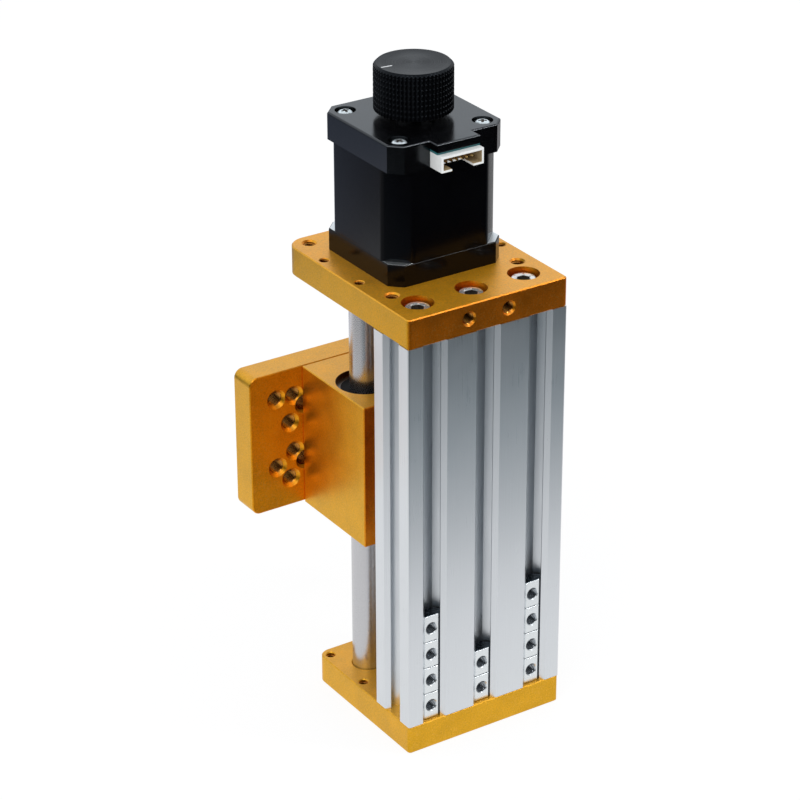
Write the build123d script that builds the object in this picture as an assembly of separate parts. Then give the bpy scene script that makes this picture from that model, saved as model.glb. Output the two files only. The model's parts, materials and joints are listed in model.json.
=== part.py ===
from build123d import *
from math import cos, pi, sin, sqrt
import os

os.makedirs("parts", exist_ok=True)

# Motorised Z-axis module. Millimetres, +Z up. +X runs across the slotted face,
# +Y points from that face towards the tool. The origin lies on the lead screw axis,
# at the underside of the bottom plate.

# Frame
plate_thickness = 10.0
extrusion_length = 136.7
slot_face_setback = 42.5  # screw axis behind the slotted face
bottom_plate_depth = 57.0
top_plate_depth = 73.0
bottom_rear_corner_radius = 4.0
top_rear_corner_radius = 6.5
front_corner_radius = 1.2
plate_edge_break = 0.35

# Slotted extrusion, one cell for each slot of the wide face
cell_pitch = 20.0
cell_count = 3
frame_width = cell_pitch * cell_count
slot_mouth = 9.16
slot_throat = 6.2
slot_lip = 1.8
slot_cavity_width = 11.0
slot_cavity_straight = 1.7
slot_depth = 6.1
slot_floor_width = 5.8
core_hole_diameter = 4.2
chamber_wall = 1.6
chamber_foot_inset = 0.6
extrusion_corner_radius = 0.6

# Guide rods
rod_diameter = 10.0
rod_inset = 11.0  # from the sides of the block and plates to the rod axes
rod_seat_depth = 6.0
rod_seat_clearance = 0.02
rod_end_chamfer = 0.5
rod_seat_chamfer = 0.4

# Lead screw drive
screw_diameter = 8.0
screw_end_reach = 2.0  # below the lower bearing
running_clearance = 0.05
end_bearing_outer_diameter = 16.0
end_bearing_width = 5.0
end_bearing_shoulder = 2.5
bearing_ring_wall = 1.3
bearing_shield_recess = 0.3
screw_end_recess = 3.0
screw_end_chamfer = 0.6
coupler_diameter = 14.0
coupler_length = 25.0
coupler_top_gap = 1.2
coupler_end_gap = 0.2  # between the screw and the motor shaft inside the coupler
coupler_edge_break = 0.5
coupler_screw_turn = 45.0
set_screw_sink = 0.4
set_screw_hex_width = 2.0
nut_flange_diameter = 22.0
nut_flange_thickness = 3.5
nut_flange_edge_break = 0.3
nut_barrel_diameter = 10.2
nut_barrel_length = 10.0
nut_stub_length = 1.5
nut_bolt_circle = 16.0
nut_bolt_count = 4
nut_screw_engagement = 8.0
nut_screw_hole_depth = 9.0

# Carriage, placed as it stands at rest
block_bottom_z = 65.5
block_height = 50.5
block_depth = 37.5
block_rear_y = 20.9
block_edge_break = 0.3
tool_plate_width = 100.0
tool_plate_height = 50.0
tool_plate_step = 0.6  # its underside above the block's
tool_plate_thickness = 10.0
tool_plate_corner_radius = 3.0
tool_plate_edge_break = 0.3
coupler_bore_clearance = 1.0
coupler_bore_depth = 24.0
seat_clearance = 0.02

# Linear ball bearings in the block
ball_bearing_outer_diameter = 19.0
ball_bearing_length = 29.0
ball_bearing_inset = 2.0  # below the top of the block
ball_bearing_sleeve_wall = 1.6
ball_bearing_seal_width = 1.5
ball_bearing_ring_groove_width = 1.3
ball_bearing_ring_groove_depth = 0.5
ball_bearing_ring_groove_span = 22.0
ball_track_count = 4
ball_track_width = 2.2
ball_track_depth = 1.0
ball_track_margin = 2.0

# Motor
motor_width = 42.3
motor_front_cap_thickness = 7.4
motor_stator_length = 30.4
motor_rear_cap_thickness = 9.2
motor_cap_chamfer = 3.9
motor_stator_chamfer = 7.2
motor_pilot_diameter = 22.0
motor_pilot_height = 2.0
motor_bolt_spacing = 31.0
motor_shaft_diameter = 5.0
motor_shaft_reach = 17.0
motor_rotor_diameter = 26.0
motor_air_gap = 0.3
motor_end_gap = 1.5
motor_edge_radius = 0.7
motor_flange_edge_break = 0.3
motor_shaft_hole_clearance = 1.2
rotor_cup_gap = 1.6
rotor_magnet_step = 0.6
shaft_end_chamfer = 0.3
shaft_flat_depth = 0.5
motor_bearing_outer_diameter = 16.0
motor_bearing_width = 5.0
case_screw_recess_diameter = 6.8
case_screw_recess_depth = 2.1
mount_screw_grip = 4.0
mount_screw_length = 10.0

# Connector at the rear cap
hood_width = 16.0
hood_reach = 4.5
connector_width = 15.7
connector_height = 5.3
connector_reach = 6.4
connector_depth = 9.4
connector_wall = 0.8
connector_back_wall = 1.6
connector_gap_width = 7.8
connector_pin_count = 6
connector_pin_pitch = 2.0
connector_pin_width = 0.5
connector_pin_setback = 1.4
board_thickness = 0.8
board_setback = 2.4
connector_top_below_cap = 3.5

# Knob
knob_diameter = 25.4
knob_height = 15.2
knob_lift = 2.4
knob_top_chamfer = 0.8
knob_wall = 2.2
knob_top_wall = 3.2
knob_hub_diameter = 11.0
knob_tooth_count = 60
knob_tooth_depth = 0.45
knob_tooth_length = 14.9
knob_groove_overcut = 0.35
knob_screw_height = 5.0
knob_screw_hex_width = 1.5

# Nuts in the slots
nut_length = 9.75
nut_neck_width = 5.6
nut_neck_recess = 1.5
nut_wing_width = 10.2
nut_wing_thickness = 1.5
nut_foot_width = 5.4
nut_height = 4.3
nut_edge_break = 0.25
nut_side_play = 0.05
nut_lip_play = 0.1
left_nut_count = 4
middle_nut_count = 2
right_nut_count = 4

# Holes in the plates: nominal thread diameters and the places of their centres
m3 = 3.0
m4 = 4.0
m5 = 5.0
thread_chamfer = 0.55
small_thread_chamfer = 0.3
tool_hole_chamfer = 1.0
cover_hole_spacing_x = 54.0
cover_hole_spacing_y = 20.7
cover_hole_shift_y = 0.35
top_hole_spacing_x = 47.5
top_hole_spacing_y = 49.0
top_hole_shift_y = 0.65
edge_hole_spacing = 15.0
edge_hole_depth = 12.0

# Tool plate hole patterns: (width, height, shift of the centre in Z)
wide_tool_pattern = (80.0, 25.0, 2.75)
middle_tool_pattern = (70.0, 20.5, -4.75)
inner_tool_pattern = (66.6, 20.4, 4.85)
narrow_tool_pattern = (59.0, 20.4, 0.75)
tool_patterns = (wide_tool_pattern, middle_tool_pattern, inner_tool_pattern, narrow_tool_pattern)

# Screws of the plates
cap_head_diameter = 8.5
cap_head_height = 5.0
cap_counterbore_clearance = 1.0
cap_head_recess = 1.5
cap_head_chamfer = 0.4
cap_shank_length = 16.0
cap_hex_width = 4.0
cap_hex_depth = 2.5
flat_head_diameter = 9.4
flat_head_height = 2.6
flat_head_recess = 0.2
flat_shank_length = 14.0
flat_hex_width = 3.0
flat_hex_depth = 1.6
small_head_diameter = 5.5
small_head_height = 3.0
small_head_clearance = 0.5
small_hex_width = 2.5
small_hex_depth = 1.4
pan_head_diameter = 5.2
pan_head_height = 2.0
pan_head_chamfer = 0.6
plate_screw_spacing_x = 40.0
plate_screw_spacing_z = 34.0
plate_screw_engagement = 9.0
plate_screw_hole_depth = 10.0
plate_screw_recess = 0.75
shank_clearance = 0.25

# Places that follow from the sizes
front_y = -slot_face_setback
extrusion_rear_y = front_y + cell_pitch
extrusion_axis_y = front_y + cell_pitch / 2
extrusion_bottom_z = plate_thickness
extrusion_top_z = extrusion_bottom_z + extrusion_length
top_plate_top_z = extrusion_top_z + plate_thickness
block_front_y = block_rear_y - block_depth
block_top_z = block_bottom_z + block_height
tool_plate_bottom_z = block_bottom_z + tool_plate_step
tool_plate_top_z = tool_plate_bottom_z + tool_plate_height
tool_plate_rear_y = block_rear_y + tool_plate_thickness
stator_bottom_z = top_plate_top_z + motor_front_cap_thickness
stator_top_z = stator_bottom_z + motor_stator_length
motor_top_z = stator_top_z + motor_rear_cap_thickness
coupler_top_z = top_plate_top_z - motor_pilot_height - coupler_top_gap
coupler_bottom_z = coupler_top_z - coupler_length
motor_shaft_end_z = top_plate_top_z - motor_shaft_reach
coupler_step_z = motor_shaft_end_z - coupler_end_gap
motor_front_y = -motor_width / 2
knob_bottom_z = motor_top_z + knob_lift
knob_screw_z = knob_bottom_z + knob_screw_height
shaft_flat_x = motor_shaft_diameter / 2 - shaft_flat_depth
connector_top_z = motor_top_z - connector_top_below_cap
rod_xs = (rod_inset - frame_width / 2, frame_width / 2 - rod_inset)
slot_xs = [(i - (cell_count - 1) / 2) * cell_pitch for i in range(cell_count)]


def slab(x0, x1, y0, y1, z0, z1):
    """Box between two opposite corners."""
    centre = ((x0 + x1) / 2, (y0 + y1) / 2, (z0 + z1) / 2)
    return Pos(*centre) * Box(x1 - x0, y1 - y0, z1 - z0)


def upright(diameter, z0, z1, x=0.0, y=0.0):
    """Cylinder along Z between two heights."""
    return Pos(x, y, (z0 + z1) / 2) * Cylinder(diameter / 2, z1 - z0)


def upright_cone(d0, d1, z0, z1, x=0.0, y=0.0):
    """Cone along Z with its lower and upper diameter."""
    return Pos(x, y, (z0 + z1) / 2) * Cone(d0 / 2, d1 / 2, z1 - z0)


def ring(outer, inner, z0, z1, x=0.0, y=0.0):
    """Tube along Z."""
    return upright(outer, z0, z1, x, y) - upright(inner, z0 - 1, z1 + 1, x, y)


def corners(spacing_x, spacing_y):
    """Four places at the corners of a rectangle round the origin."""
    return [(sx * spacing_x / 2, sy * spacing_y / 2) for sx in (-1, 1) for sy in (-1, 1)]


def tapped_hole(diameter, z0, z1, bevel, x=0.0, y=0.0):
    """Cutter for a threaded through hole with a countersink at both mouths."""
    wide = diameter + 2 * bevel
    half = [
        (0, z0),
        (wide / 2, z0),
        (diameter / 2, z0 + bevel),
        (diameter / 2, z1 - bevel),
        (wide / 2, z1),
        (0, z1),
    ]
    return Pos(x, y, 0) * revolve(Plane.XZ * make_face(Polyline(*half, close=True)), Axis.Z)


def tapped_hole_y(diameter, y0, y1, bevel, x, z):
    """Cutter for a threaded through hole along Y, with a countersink at both mouths."""
    return Pos(x, 0, z) * Rot(-90, 0, 0) * tapped_hole(diameter, y0, y1, bevel)


def hex_socket(width, top_z, depth):
    """Cutter for a hexagon socket that opens upwards at top_z."""
    prism = extrude(RegularPolygon(width / sqrt(3), 6), depth + 1)
    return Pos(0, 0, top_z - depth) * prism


def cap_screw(diameter, head_diameter, head_height, length, hex_width, hex_depth):
    """Socket cap screw with the underside of its head at Z 0 and its shank below."""
    head = upright(head_diameter, 0, head_height)
    head = chamfer(head.edges().group_by(Axis.Z)[-1], cap_head_chamfer)
    body = head + upright(diameter, -length, 0)
    return body - hex_socket(hex_width, head_height, hex_depth)


def flat_screw(diameter, head_diameter, head_height, length, hex_width, hex_depth):
    """Countersunk screw with the top of its head at Z 0 and its shank below."""
    head = upright_cone(diameter, head_diameter, -head_height, 0)
    body = head + upright(diameter, -length, -head_height)
    return body - hex_socket(hex_width, 0, hex_depth)


def pan_screw(diameter, head_diameter, head_height, length):
    """Pan head screw with the underside of its head at Z 0."""
    head = upright(head_diameter, 0, head_height)
    head = chamfer(head.edges().group_by(Axis.Z)[-1], pan_head_chamfer)
    return head + upright(diameter, -length, 0)


def plate_blank(depth, z0, rear_radius):
    """Plate between the slotted face and its rear edge, with its rounded upright edges."""
    rear_y = front_y + depth
    z1 = z0 + plate_thickness
    blank = slab(-frame_width / 2, frame_width / 2, front_y, rear_y, z0, z1)
    upright_edges = blank.edges().filter_by(Axis.Z).group_by(Axis.Y)
    blank = fillet(upright_edges[-1], rear_radius)
    blank = fillet(blank.edges().filter_by(Axis.Z).group_by(Axis.Y)[0], front_corner_radius)
    rims = blank.edges().group_by(Axis.Z)
    return chamfer(rims[0] + rims[-1], plate_edge_break)


def cap_seats(face_z, inner_z):
    """Cutters for the extrusion screws: counterbores at face_z, clearance holes to inner_z."""
    depth = cap_head_height + cap_head_recess
    up = 1 if face_z > inner_z else -1
    floor_z = face_z - up * depth
    wide = cap_head_diameter + 2 * cap_counterbore_clearance
    cutters = []
    for x in slot_xs:
        z0, z1 = sorted((floor_z, face_z + up))
        cutters.append(upright(wide, z0, z1, x, extrusion_axis_y))
        z0, z1 = sorted((inner_z - up, floor_z + up))
        cutters.append(upright(m5 + 2 * shank_clearance, z0, z1, x, extrusion_axis_y))
    return cutters


def rod_seats(inner_z, up):
    """Cutters for the rod ends: blind seats with a broken rim, sunk from inner_z."""
    seat = rod_diameter + 2 * rod_seat_clearance
    mouth = seat + 2 * rod_seat_chamfer
    ends = (mouth, seat) if up > 0 else (seat, mouth)
    low, high = sorted((inner_z - up, inner_z + up * rod_seat_depth))
    rim_low, rim_high = sorted((inner_z, inner_z + up * rod_seat_chamfer))
    cutters = []
    for x in rod_xs:
        cutters.append(upright(seat, low, high, x))
        cutters.append(upright_cone(*ends, rim_low, rim_high, x))
    return cutters


def rod_screw_seats():
    """Cutters for the rod screws: countersunk holes from the underside of the bottom plate."""
    hole = m5 + 2 * shank_clearance
    wide = flat_head_diameter + 2 * shank_clearance
    cutters = []
    for x in rod_xs:
        cutters.append(upright(hole, -1, plate_thickness - rod_seat_depth + 1, x))
        cutters.append(upright_cone(wide, hole, flat_head_recess, flat_head_recess + flat_head_height, x))
        cutters.append(upright(wide, -1, flat_head_recess, x))
    return cutters


def cover_holes(z0):
    """Cutters for the four small threaded holes that both plates share."""
    z1 = z0 + plate_thickness
    return [tapped_hole(m3, z0, z1, small_thread_chamfer, x, y + cover_hole_shift_y)
            for x, y in corners(cover_hole_spacing_x, cover_hole_spacing_y)]


def bottom_plate():
    """Foot plate with the rod seats, the screw bearing's pocket and the screw holes."""
    plate = plate_blank(bottom_plate_depth, 0, bottom_rear_corner_radius)
    pocket_z = plate_thickness - end_bearing_width
    plate -= cap_seats(0, plate_thickness) + rod_seats(plate_thickness, -1) + rod_screw_seats()
    plate -= upright(end_bearing_outer_diameter + 2 * seat_clearance, pocket_z, plate_thickness + 1)
    relief = end_bearing_outer_diameter - 2 * end_bearing_shoulder
    plate -= upright(relief, pocket_z - screw_end_recess, pocket_z + 1)
    return plate - cover_holes(0)


def top_plate():
    """Motor plate with the pilot hole, rod seats, screw holes and threaded holes."""
    z0 = extrusion_top_z
    z1 = top_plate_top_z
    plate = plate_blank(top_plate_depth, z0, top_rear_corner_radius)
    plate -= cap_seats(z1, z0) + rod_seats(z0, 1)
    plate -= upright(motor_pilot_diameter + 2 * seat_clearance, z0 - 1, z1 + 1)
    plate -= cover_holes(z0)
    for x, y in corners(top_hole_spacing_x, top_hole_spacing_y):
        plate -= tapped_hole(m4, z0, z1, thread_chamfer, x, y + top_hole_shift_y)
    for x, y in corners(motor_bolt_spacing, motor_bolt_spacing):
        plate -= upright(m3 + 2 * shank_clearance, z0 - 1, z1 + 1, x, y)
        seat = small_head_diameter + 2 * small_head_clearance
        plate -= upright(seat, z0 - 1, z1 - mount_screw_grip, x, y)
    middle_z = (z0 + z1) / 2
    for x in (-edge_hole_spacing / 2, edge_hole_spacing / 2):
        mouth = Pos(x, front_y, middle_z) * Rot(90, 0, 0)
        hole = upright(m4, -edge_hole_depth, 1)
        hole += upright_cone(m4, m4 + 2 * thread_chamfer, -thread_chamfer, 0)
        plate -= mouth * hole
    return plate


def slot_outline():
    """Half section of a V-slot: across from its centre line, and down from the mouth."""
    bevel = (slot_mouth - slot_throat) / 2
    straight = slot_lip + slot_cavity_straight
    half = [
        (slot_mouth / 2 + 1, -1),
        (slot_throat / 2, bevel),
        (slot_throat / 2, slot_lip),
        (slot_cavity_width / 2, slot_lip),
        (slot_cavity_width / 2, straight),
        (slot_floor_width / 2, slot_depth),
    ]
    return half + [(-u, v) for u, v in reversed(half)]


def slot_cutter(x, y, turn):
    """Extruded slot whose mouth opens at (x, y) after a turn about Z; turn 0 opens to -Y."""
    section = make_face(Polyline(*slot_outline(), close=True))
    return Pos(x, y, 0) * Rot(0, 0, turn) * section


def chamber_section():
    """Closed hollow between two cells, bounded by walls along the slots' cavities."""
    rib = (cell_pitch - slot_cavity_width) / 2 - chamber_wall
    flare = slot_lip + slot_cavity_straight
    wide = (cell_pitch - slot_floor_width) / 2 - chamber_wall - chamber_foot_inset
    drop = flare + (wide - rib)
    top = cell_pitch / 2 - slot_lip
    quarter = [(rib, top), (rib, cell_pitch / 2 - flare), (wide, cell_pitch / 2 - drop)]
    right = quarter + [(u, -v) for u, v in reversed(quarter)]
    return make_face(Polyline(*right, *[(-u, -v) for u, v in right], close=True))


def slotted_extrusion():
    """V-slot extrusion, three cells wide, with chambers between the cells and core holes."""
    outline = RectangleRounded(frame_width, cell_pitch, extrusion_corner_radius)
    section = Pos(0, extrusion_axis_y, 0) * outline
    for x in slot_xs:
        section -= slot_cutter(x, front_y, 0)
        section -= slot_cutter(x, extrusion_rear_y, 180)
        section -= Pos(x, extrusion_axis_y, 0) * Circle(core_hole_diameter / 2)
    section -= slot_cutter(-frame_width / 2, extrusion_axis_y, -90)
    section -= slot_cutter(frame_width / 2, extrusion_axis_y, 90)
    for x0, x1 in zip(slot_xs[:-1], slot_xs[1:]):
        section -= Pos((x0 + x1) / 2, extrusion_axis_y, 0) * chamber_section()
    return Pos(0, 0, extrusion_bottom_z) * extrude(section, extrusion_length)


def guide_rod(x):
    """Polished rod with broken end edges and a tapped hole in its lower end."""
    z0 = extrusion_bottom_z - rod_seat_depth
    z1 = extrusion_top_z + rod_seat_depth
    rod = chamfer(upright(rod_diameter, z0, z1, x).edges(), rod_end_chamfer)
    return rod - upright(m5, z0 - 1, z0 + flat_shank_length, x)


def extrusion_screws(face_z, up):
    """Three socket cap screws that hold a plate to the extrusion's core holes."""
    seat_z = face_z - up * (cap_head_height + cap_head_recess)
    thread = core_hole_diameter
    turn = Rot(0, 0, 0) if up > 0 else Rot(180, 0, 0)
    floor = plate_thickness - cap_head_height - cap_head_recess
    screw = cap_screw(m5, cap_head_diameter, cap_head_height, floor, cap_hex_width, cap_hex_depth)
    screw += upright(thread, -cap_shank_length, -floor)
    return [Pos(x, extrusion_axis_y, seat_z) * turn * screw for x in slot_xs]


def bottom_rod_screws():
    """Countersunk screws that hold the bottom plate to the rods."""
    screw = flat_screw(m5, flat_head_diameter, flat_head_height, flat_shank_length,
                       flat_hex_width, flat_hex_depth)
    return [Pos(x, 0, flat_head_recess) * Rot(180, 0, 0) * screw for x in rod_xs]


def chamfered_square(width, cut):
    """Square section with equal corner chamfers."""
    square = Rectangle(width, width)
    return chamfer(square.vertices(), cut)


def ball_bearing(bore, outer, z0, width):
    """Plain outline of a shielded ball bearing: two rings and a recessed shield."""
    inner = bore + 2 * bearing_ring_wall
    race = outer - 2 * bearing_ring_wall
    low = z0 + bearing_shield_recess
    high = z0 + width - bearing_shield_recess
    rings = ring(inner, bore, z0, z0 + width) + ring(outer, race, z0, z0 + width)
    return rings + ring(race, inner, low, high)


def case_screw_places():
    """Centres of the screws at the motor's corners."""
    return corners(motor_bolt_spacing, motor_bolt_spacing)


def motor_front_cap():
    """Flange with the pilot boss, the bearing seat and the threaded mounting holes."""
    z0 = top_plate_top_z
    z1 = stator_bottom_z
    body = Pos(0, 0, z0) * extrude(chamfered_square(motor_width, motor_cap_chamfer), z1 - z0)
    body = chamfer(body.edges().group_by(Axis.Z)[-1], motor_flange_edge_break)
    body += upright(motor_pilot_diameter, z0 - motor_pilot_height, z0)
    body -= upright(motor_bearing_outer_diameter, z1 - motor_bearing_width, z1 + 1)
    shaft_hole = motor_shaft_diameter + 2 * motor_shaft_hole_clearance
    body -= upright(shaft_hole, z0 - motor_pilot_height - 1, z1)
    for x, y in case_screw_places():
        body -= upright(m3, z0 - 1, z1 + 1, x, y)
    return body


def motor_stator():
    """Lamination stack with its bore for the rotor and the holes of the case screws."""
    stack = extrude(chamfered_square(motor_width, motor_stator_chamfer), motor_stator_length)
    stack = Pos(0, 0, stator_bottom_z) * stack
    bore = motor_rotor_diameter + 2 * motor_air_gap
    return stack - upright(bore, stator_bottom_z - 1, stator_top_z + 1)


def motor_rear_cap():
    """Moulded-looking end cap: hood over the connector, screw recesses and bearing seat."""
    z0 = stator_top_z
    z1 = motor_top_z
    body = Pos(0, 0, z0) * extrude(chamfered_square(motor_width, motor_cap_chamfer), z1 - z0)
    hood_bottom = connector_top_z + board_thickness
    body += slab(-hood_width / 2, hood_width / 2, motor_front_y - hood_reach, 0, hood_bottom, z1)
    body = fillet(body.faces().sort_by(Axis.Z)[-1].outer_wire().edges(), motor_edge_radius)
    body -= upright(motor_bearing_outer_diameter, z0 - 1, z0 + motor_bearing_width)
    body -= upright(motor_shaft_diameter + 2 * motor_shaft_hole_clearance, z0 - 1, z1 + 1)
    for x, y in case_screw_places():
        body -= upright(case_screw_recess_diameter, z1 - case_screw_recess_depth, z1 + 1, x, y)
        body -= upright(m3, z0 - 1, z1, x, y)
    nest_rear = motor_front_y - connector_reach + connector_depth
    half = connector_width / 2
    body -= slab(-half, half, motor_front_y - 1, nest_rear,
                 connector_top_z - connector_height, hood_bottom)
    return body


def motor_case_screws():
    """Pan head screws that hold the motor together, in the recesses of the rear cap."""
    seat_z = motor_top_z - case_screw_recess_depth
    stack_reach = seat_z - stator_top_z
    screw = pan_screw(m3, pan_head_diameter, pan_head_height, stack_reach)
    return [Pos(x, y, seat_z) * screw for x, y in case_screw_places()]


def motor_mount_screws():
    """Socket cap screws from under the top plate into the motor's flange."""
    seat_z = top_plate_top_z - mount_screw_grip
    screw = cap_screw(m3, small_head_diameter, small_head_height, mount_screw_length,
                      small_hex_width, small_hex_depth)
    return [Pos(x, y, seat_z) * Rot(180, 0, 0) * screw for x, y in case_screw_places()]


def motor_bearings():
    """Ball bearings in the two caps."""
    bore = motor_shaft_diameter + 2 * running_clearance
    front_z = stator_bottom_z - motor_bearing_width
    return [ball_bearing(bore, motor_bearing_outer_diameter, z, motor_bearing_width)
            for z in (front_z, stator_top_z)]


def connector_housing():
    """Side entry header shell, open to the front, with a gap in its lower wall."""
    half = connector_width / 2
    y0 = motor_front_y - connector_reach
    y1 = y0 + connector_depth
    z1 = connector_top_z
    z0 = z1 - connector_height
    wall = connector_wall
    shell = slab(-half, half, y0, y1, z0, z1)
    shell -= slab(-half + wall, half - wall, y0 - 1, y1 - connector_back_wall, z0 + wall, z1 - wall)
    gap = connector_gap_width / 2
    return shell - slab(-gap, gap, y0 - 1, y0 + connector_reach, z0 - 1, z0 + 2 * wall)


def connector_pins():
    """Straight pins that stand out of the header's back wall."""
    back_y = motor_front_y - connector_reach + connector_depth - connector_back_wall
    tip_y = motor_front_y - connector_reach + connector_pin_setback
    middle_z = connector_top_z - connector_height / 2
    pin = Box(connector_pin_width, back_y - tip_y, connector_pin_width)
    first_x = -(connector_pin_count - 1) / 2 * connector_pin_pitch
    return [Pos(first_x + i * connector_pin_pitch, (back_y + tip_y) / 2, middle_z) * pin
            for i in range(connector_pin_count)]


def connector_board():
    """Circuit board that carries the header, between it and the hood."""
    half = connector_width / 2
    y0 = motor_front_y - connector_reach + board_setback
    y1 = motor_front_y - connector_reach + connector_depth
    return slab(-half, half, y0, y1, connector_top_z, connector_top_z + board_thickness)


def screw_end_bearing():
    """Lower bearing of the lead screw, flush with the top of the bottom plate."""
    z0 = plate_thickness - end_bearing_width
    bore = screw_diameter + 2 * running_clearance
    return ball_bearing(bore, end_bearing_outer_diameter, z0, end_bearing_width)


def slot_nut():
    """Slot nut with its neck in the throat; its mouth side faces -Y, its end is at Z 0."""
    wing_y = slot_lip + nut_lip_play
    foot_y = nut_neck_recess + nut_height
    half = [
        (nut_neck_width / 2, nut_neck_recess),
        (nut_neck_width / 2, wing_y),
        (nut_wing_width / 2, wing_y),
        (nut_wing_width / 2, wing_y + nut_wing_thickness),
        (nut_foot_width / 2, foot_y),
    ]
    section = make_face(Polyline(*half, *[(-u, v) for u, v in reversed(half)], close=True))
    nut = extrude(section, nut_length)
    end_edges = nut.faces().sort_by(Axis.Y)[0].edges()
    nut = chamfer(end_edges, nut_edge_break)
    hole = tapped_hole_y(m4, nut_neck_recess, foot_y, nut_edge_break, 0, nut_length / 2)
    return nut - hole


def nut_stack(slot_x, count):
    """Nuts stacked in one slot of the wide face, standing on the bottom plate."""
    play = (slot_throat - nut_neck_width) / 2 - nut_side_play
    nut = slot_nut()
    return [Pos(slot_x - play, front_y, plate_thickness + i * nut_length) * nut
            for i in range(count)]


def ball_bearing_seat(x):
    """Cutter for one linear bearing's through bore in the block."""
    wide = ball_bearing_outer_diameter + 2 * seat_clearance
    return upright(wide, block_bottom_z - 1, block_top_z + 1, x)


def nut_screw_places():
    """Centres of the screws on the lead nut's bolt circle."""
    step = 2 * pi / nut_bolt_count
    radius = nut_bolt_circle / 2
    return [(radius * cos((i + 0.5) * step), radius * sin((i + 0.5) * step))
            for i in range(nut_bolt_count)]


def plate_screw_places():
    """Centres, in X and Z, of the screws that hold the tool plate to the block."""
    middle_z = block_bottom_z + block_height / 2
    return [(x, z + middle_z) for x, z in corners(plate_screw_spacing_x, plate_screw_spacing_z)]


def carriage_block():
    """Bearing block with two bearing bores and the stepped bore of the screw and coupler."""
    half = frame_width / 2
    block = slab(-half, half, block_front_y, block_rear_y, block_bottom_z, block_top_z)
    block = chamfer(block.edges(), block_edge_break)
    for x in rod_xs:
        block -= ball_bearing_seat(x)
    block -= upright(nut_barrel_diameter + 2 * seat_clearance, block_bottom_z - 1, block_top_z)
    wide = coupler_diameter + 2 * coupler_bore_clearance
    block -= upright(wide, block_top_z - coupler_bore_depth, block_top_z + 1)
    for x, y in nut_screw_places():
        block -= upright(m3, block_bottom_z - 1, block_bottom_z + nut_screw_hole_depth, x, y)
    for x, z in plate_screw_places():
        mouth = Pos(x, block_rear_y, z) * Rot(-90, 0, 0)
        block -= mouth * upright(m5, -plate_screw_hole_depth, 1)
    return block


def tool_holes(pattern):
    """Cutters for one rectangle of threaded holes through the tool plate."""
    width, height, shift = pattern
    middle_z = tool_plate_bottom_z + tool_plate_height / 2 + shift
    return [tapped_hole_y(m5, block_rear_y, tool_plate_rear_y, tool_hole_chamfer, x, z + middle_z)
            for x, z in corners(width, height)]


def carriage_plate():
    """Tool plate with four rectangles of threaded holes and counterbores for its screws."""
    half = tool_plate_width / 2
    plate = slab(-half, half, block_rear_y, tool_plate_rear_y, tool_plate_bottom_z, tool_plate_top_z)
    plate = fillet(plate.edges().filter_by(Axis.Y), tool_plate_corner_radius)
    faces = plate.faces().sort_by(Axis.Y)
    rims = faces[0].edges() + faces[-1].edges()
    plate = chamfer(rims, tool_plate_edge_break)
    for pattern in tool_patterns:
        plate -= tool_holes(pattern)
    depth = cap_head_height + plate_screw_recess
    for x, z in plate_screw_places():
        seat = Pos(x, tool_plate_rear_y, z) * Rot(-90, 0, 0)
        plate -= seat * upright(cap_head_diameter + cap_counterbore_clearance, -depth, 1)
        plate -= seat * upright(m5 + 2 * shank_clearance, -tool_plate_thickness - 1, 0)
    return plate


def carriage_plate_screws():
    """Socket cap screws that hold the tool plate to the block."""
    depth = cap_head_height + plate_screw_recess
    reach = tool_plate_thickness - depth + plate_screw_engagement
    screw = cap_screw(m5, cap_head_diameter, cap_head_height, reach, cap_hex_width, cap_hex_depth)
    return [Pos(x, tool_plate_rear_y - depth, z) * Rot(-90, 0, 0) * screw
            for x, z in plate_screw_places()]


def bearing_bottom_z():
    """Lower end of the linear bearings, which sit near the top of the block."""
    return block_top_z - ball_bearing_inset - ball_bearing_length


def linear_bearing_sleeves():
    """Outer steel sleeves with their retaining ring grooves."""
    z0 = bearing_bottom_z()
    z1 = z0 + ball_bearing_length
    outer = ball_bearing_outer_diameter
    inner = outer - 2 * ball_bearing_sleeve_wall
    sleeve = ring(outer, inner, z0, z1)
    groove_bottom = outer - 2 * ball_bearing_ring_groove_depth
    inset = (ball_bearing_length - ball_bearing_ring_groove_span) / 2
    for z in (z0 + inset, z1 - inset - ball_bearing_ring_groove_width):
        sleeve -= ring(outer + 1, groove_bottom, z, z + ball_bearing_ring_groove_width)
    return [Pos(x, 0, 0) * sleeve for x in rod_xs]


def linear_bearing_cages():
    """Ball cages, with the straight run of each ball track cut into the bore."""
    z0 = bearing_bottom_z() + ball_bearing_seal_width
    z1 = z0 + ball_bearing_length - 2 * ball_bearing_seal_width
    outer = ball_bearing_outer_diameter - 2 * ball_bearing_sleeve_wall
    bore = rod_diameter + 2 * running_clearance
    cage = ring(outer, bore, z0, z1)
    for i in range(ball_track_count):
        track = slab(bore / 2 - 1, bore / 2 + ball_track_depth, -ball_track_width / 2,
                     ball_track_width / 2, z0 + ball_track_margin, z1 - ball_track_margin)
        cage -= Rot(0, 0, 360 / ball_track_count * i) * track
    return [Pos(x, 0, 0) * cage for x in rod_xs]


def linear_bearing_seals():
    """End seals of the linear bearings."""
    z0 = bearing_bottom_z()
    outer = ball_bearing_outer_diameter - 2 * ball_bearing_sleeve_wall
    bore = rod_diameter + 2 * running_clearance
    ends = (z0, z0 + ball_bearing_length - ball_bearing_seal_width)
    return [ring(outer, bore, z, z + ball_bearing_seal_width, x) for x in rod_xs for z in ends]


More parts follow.
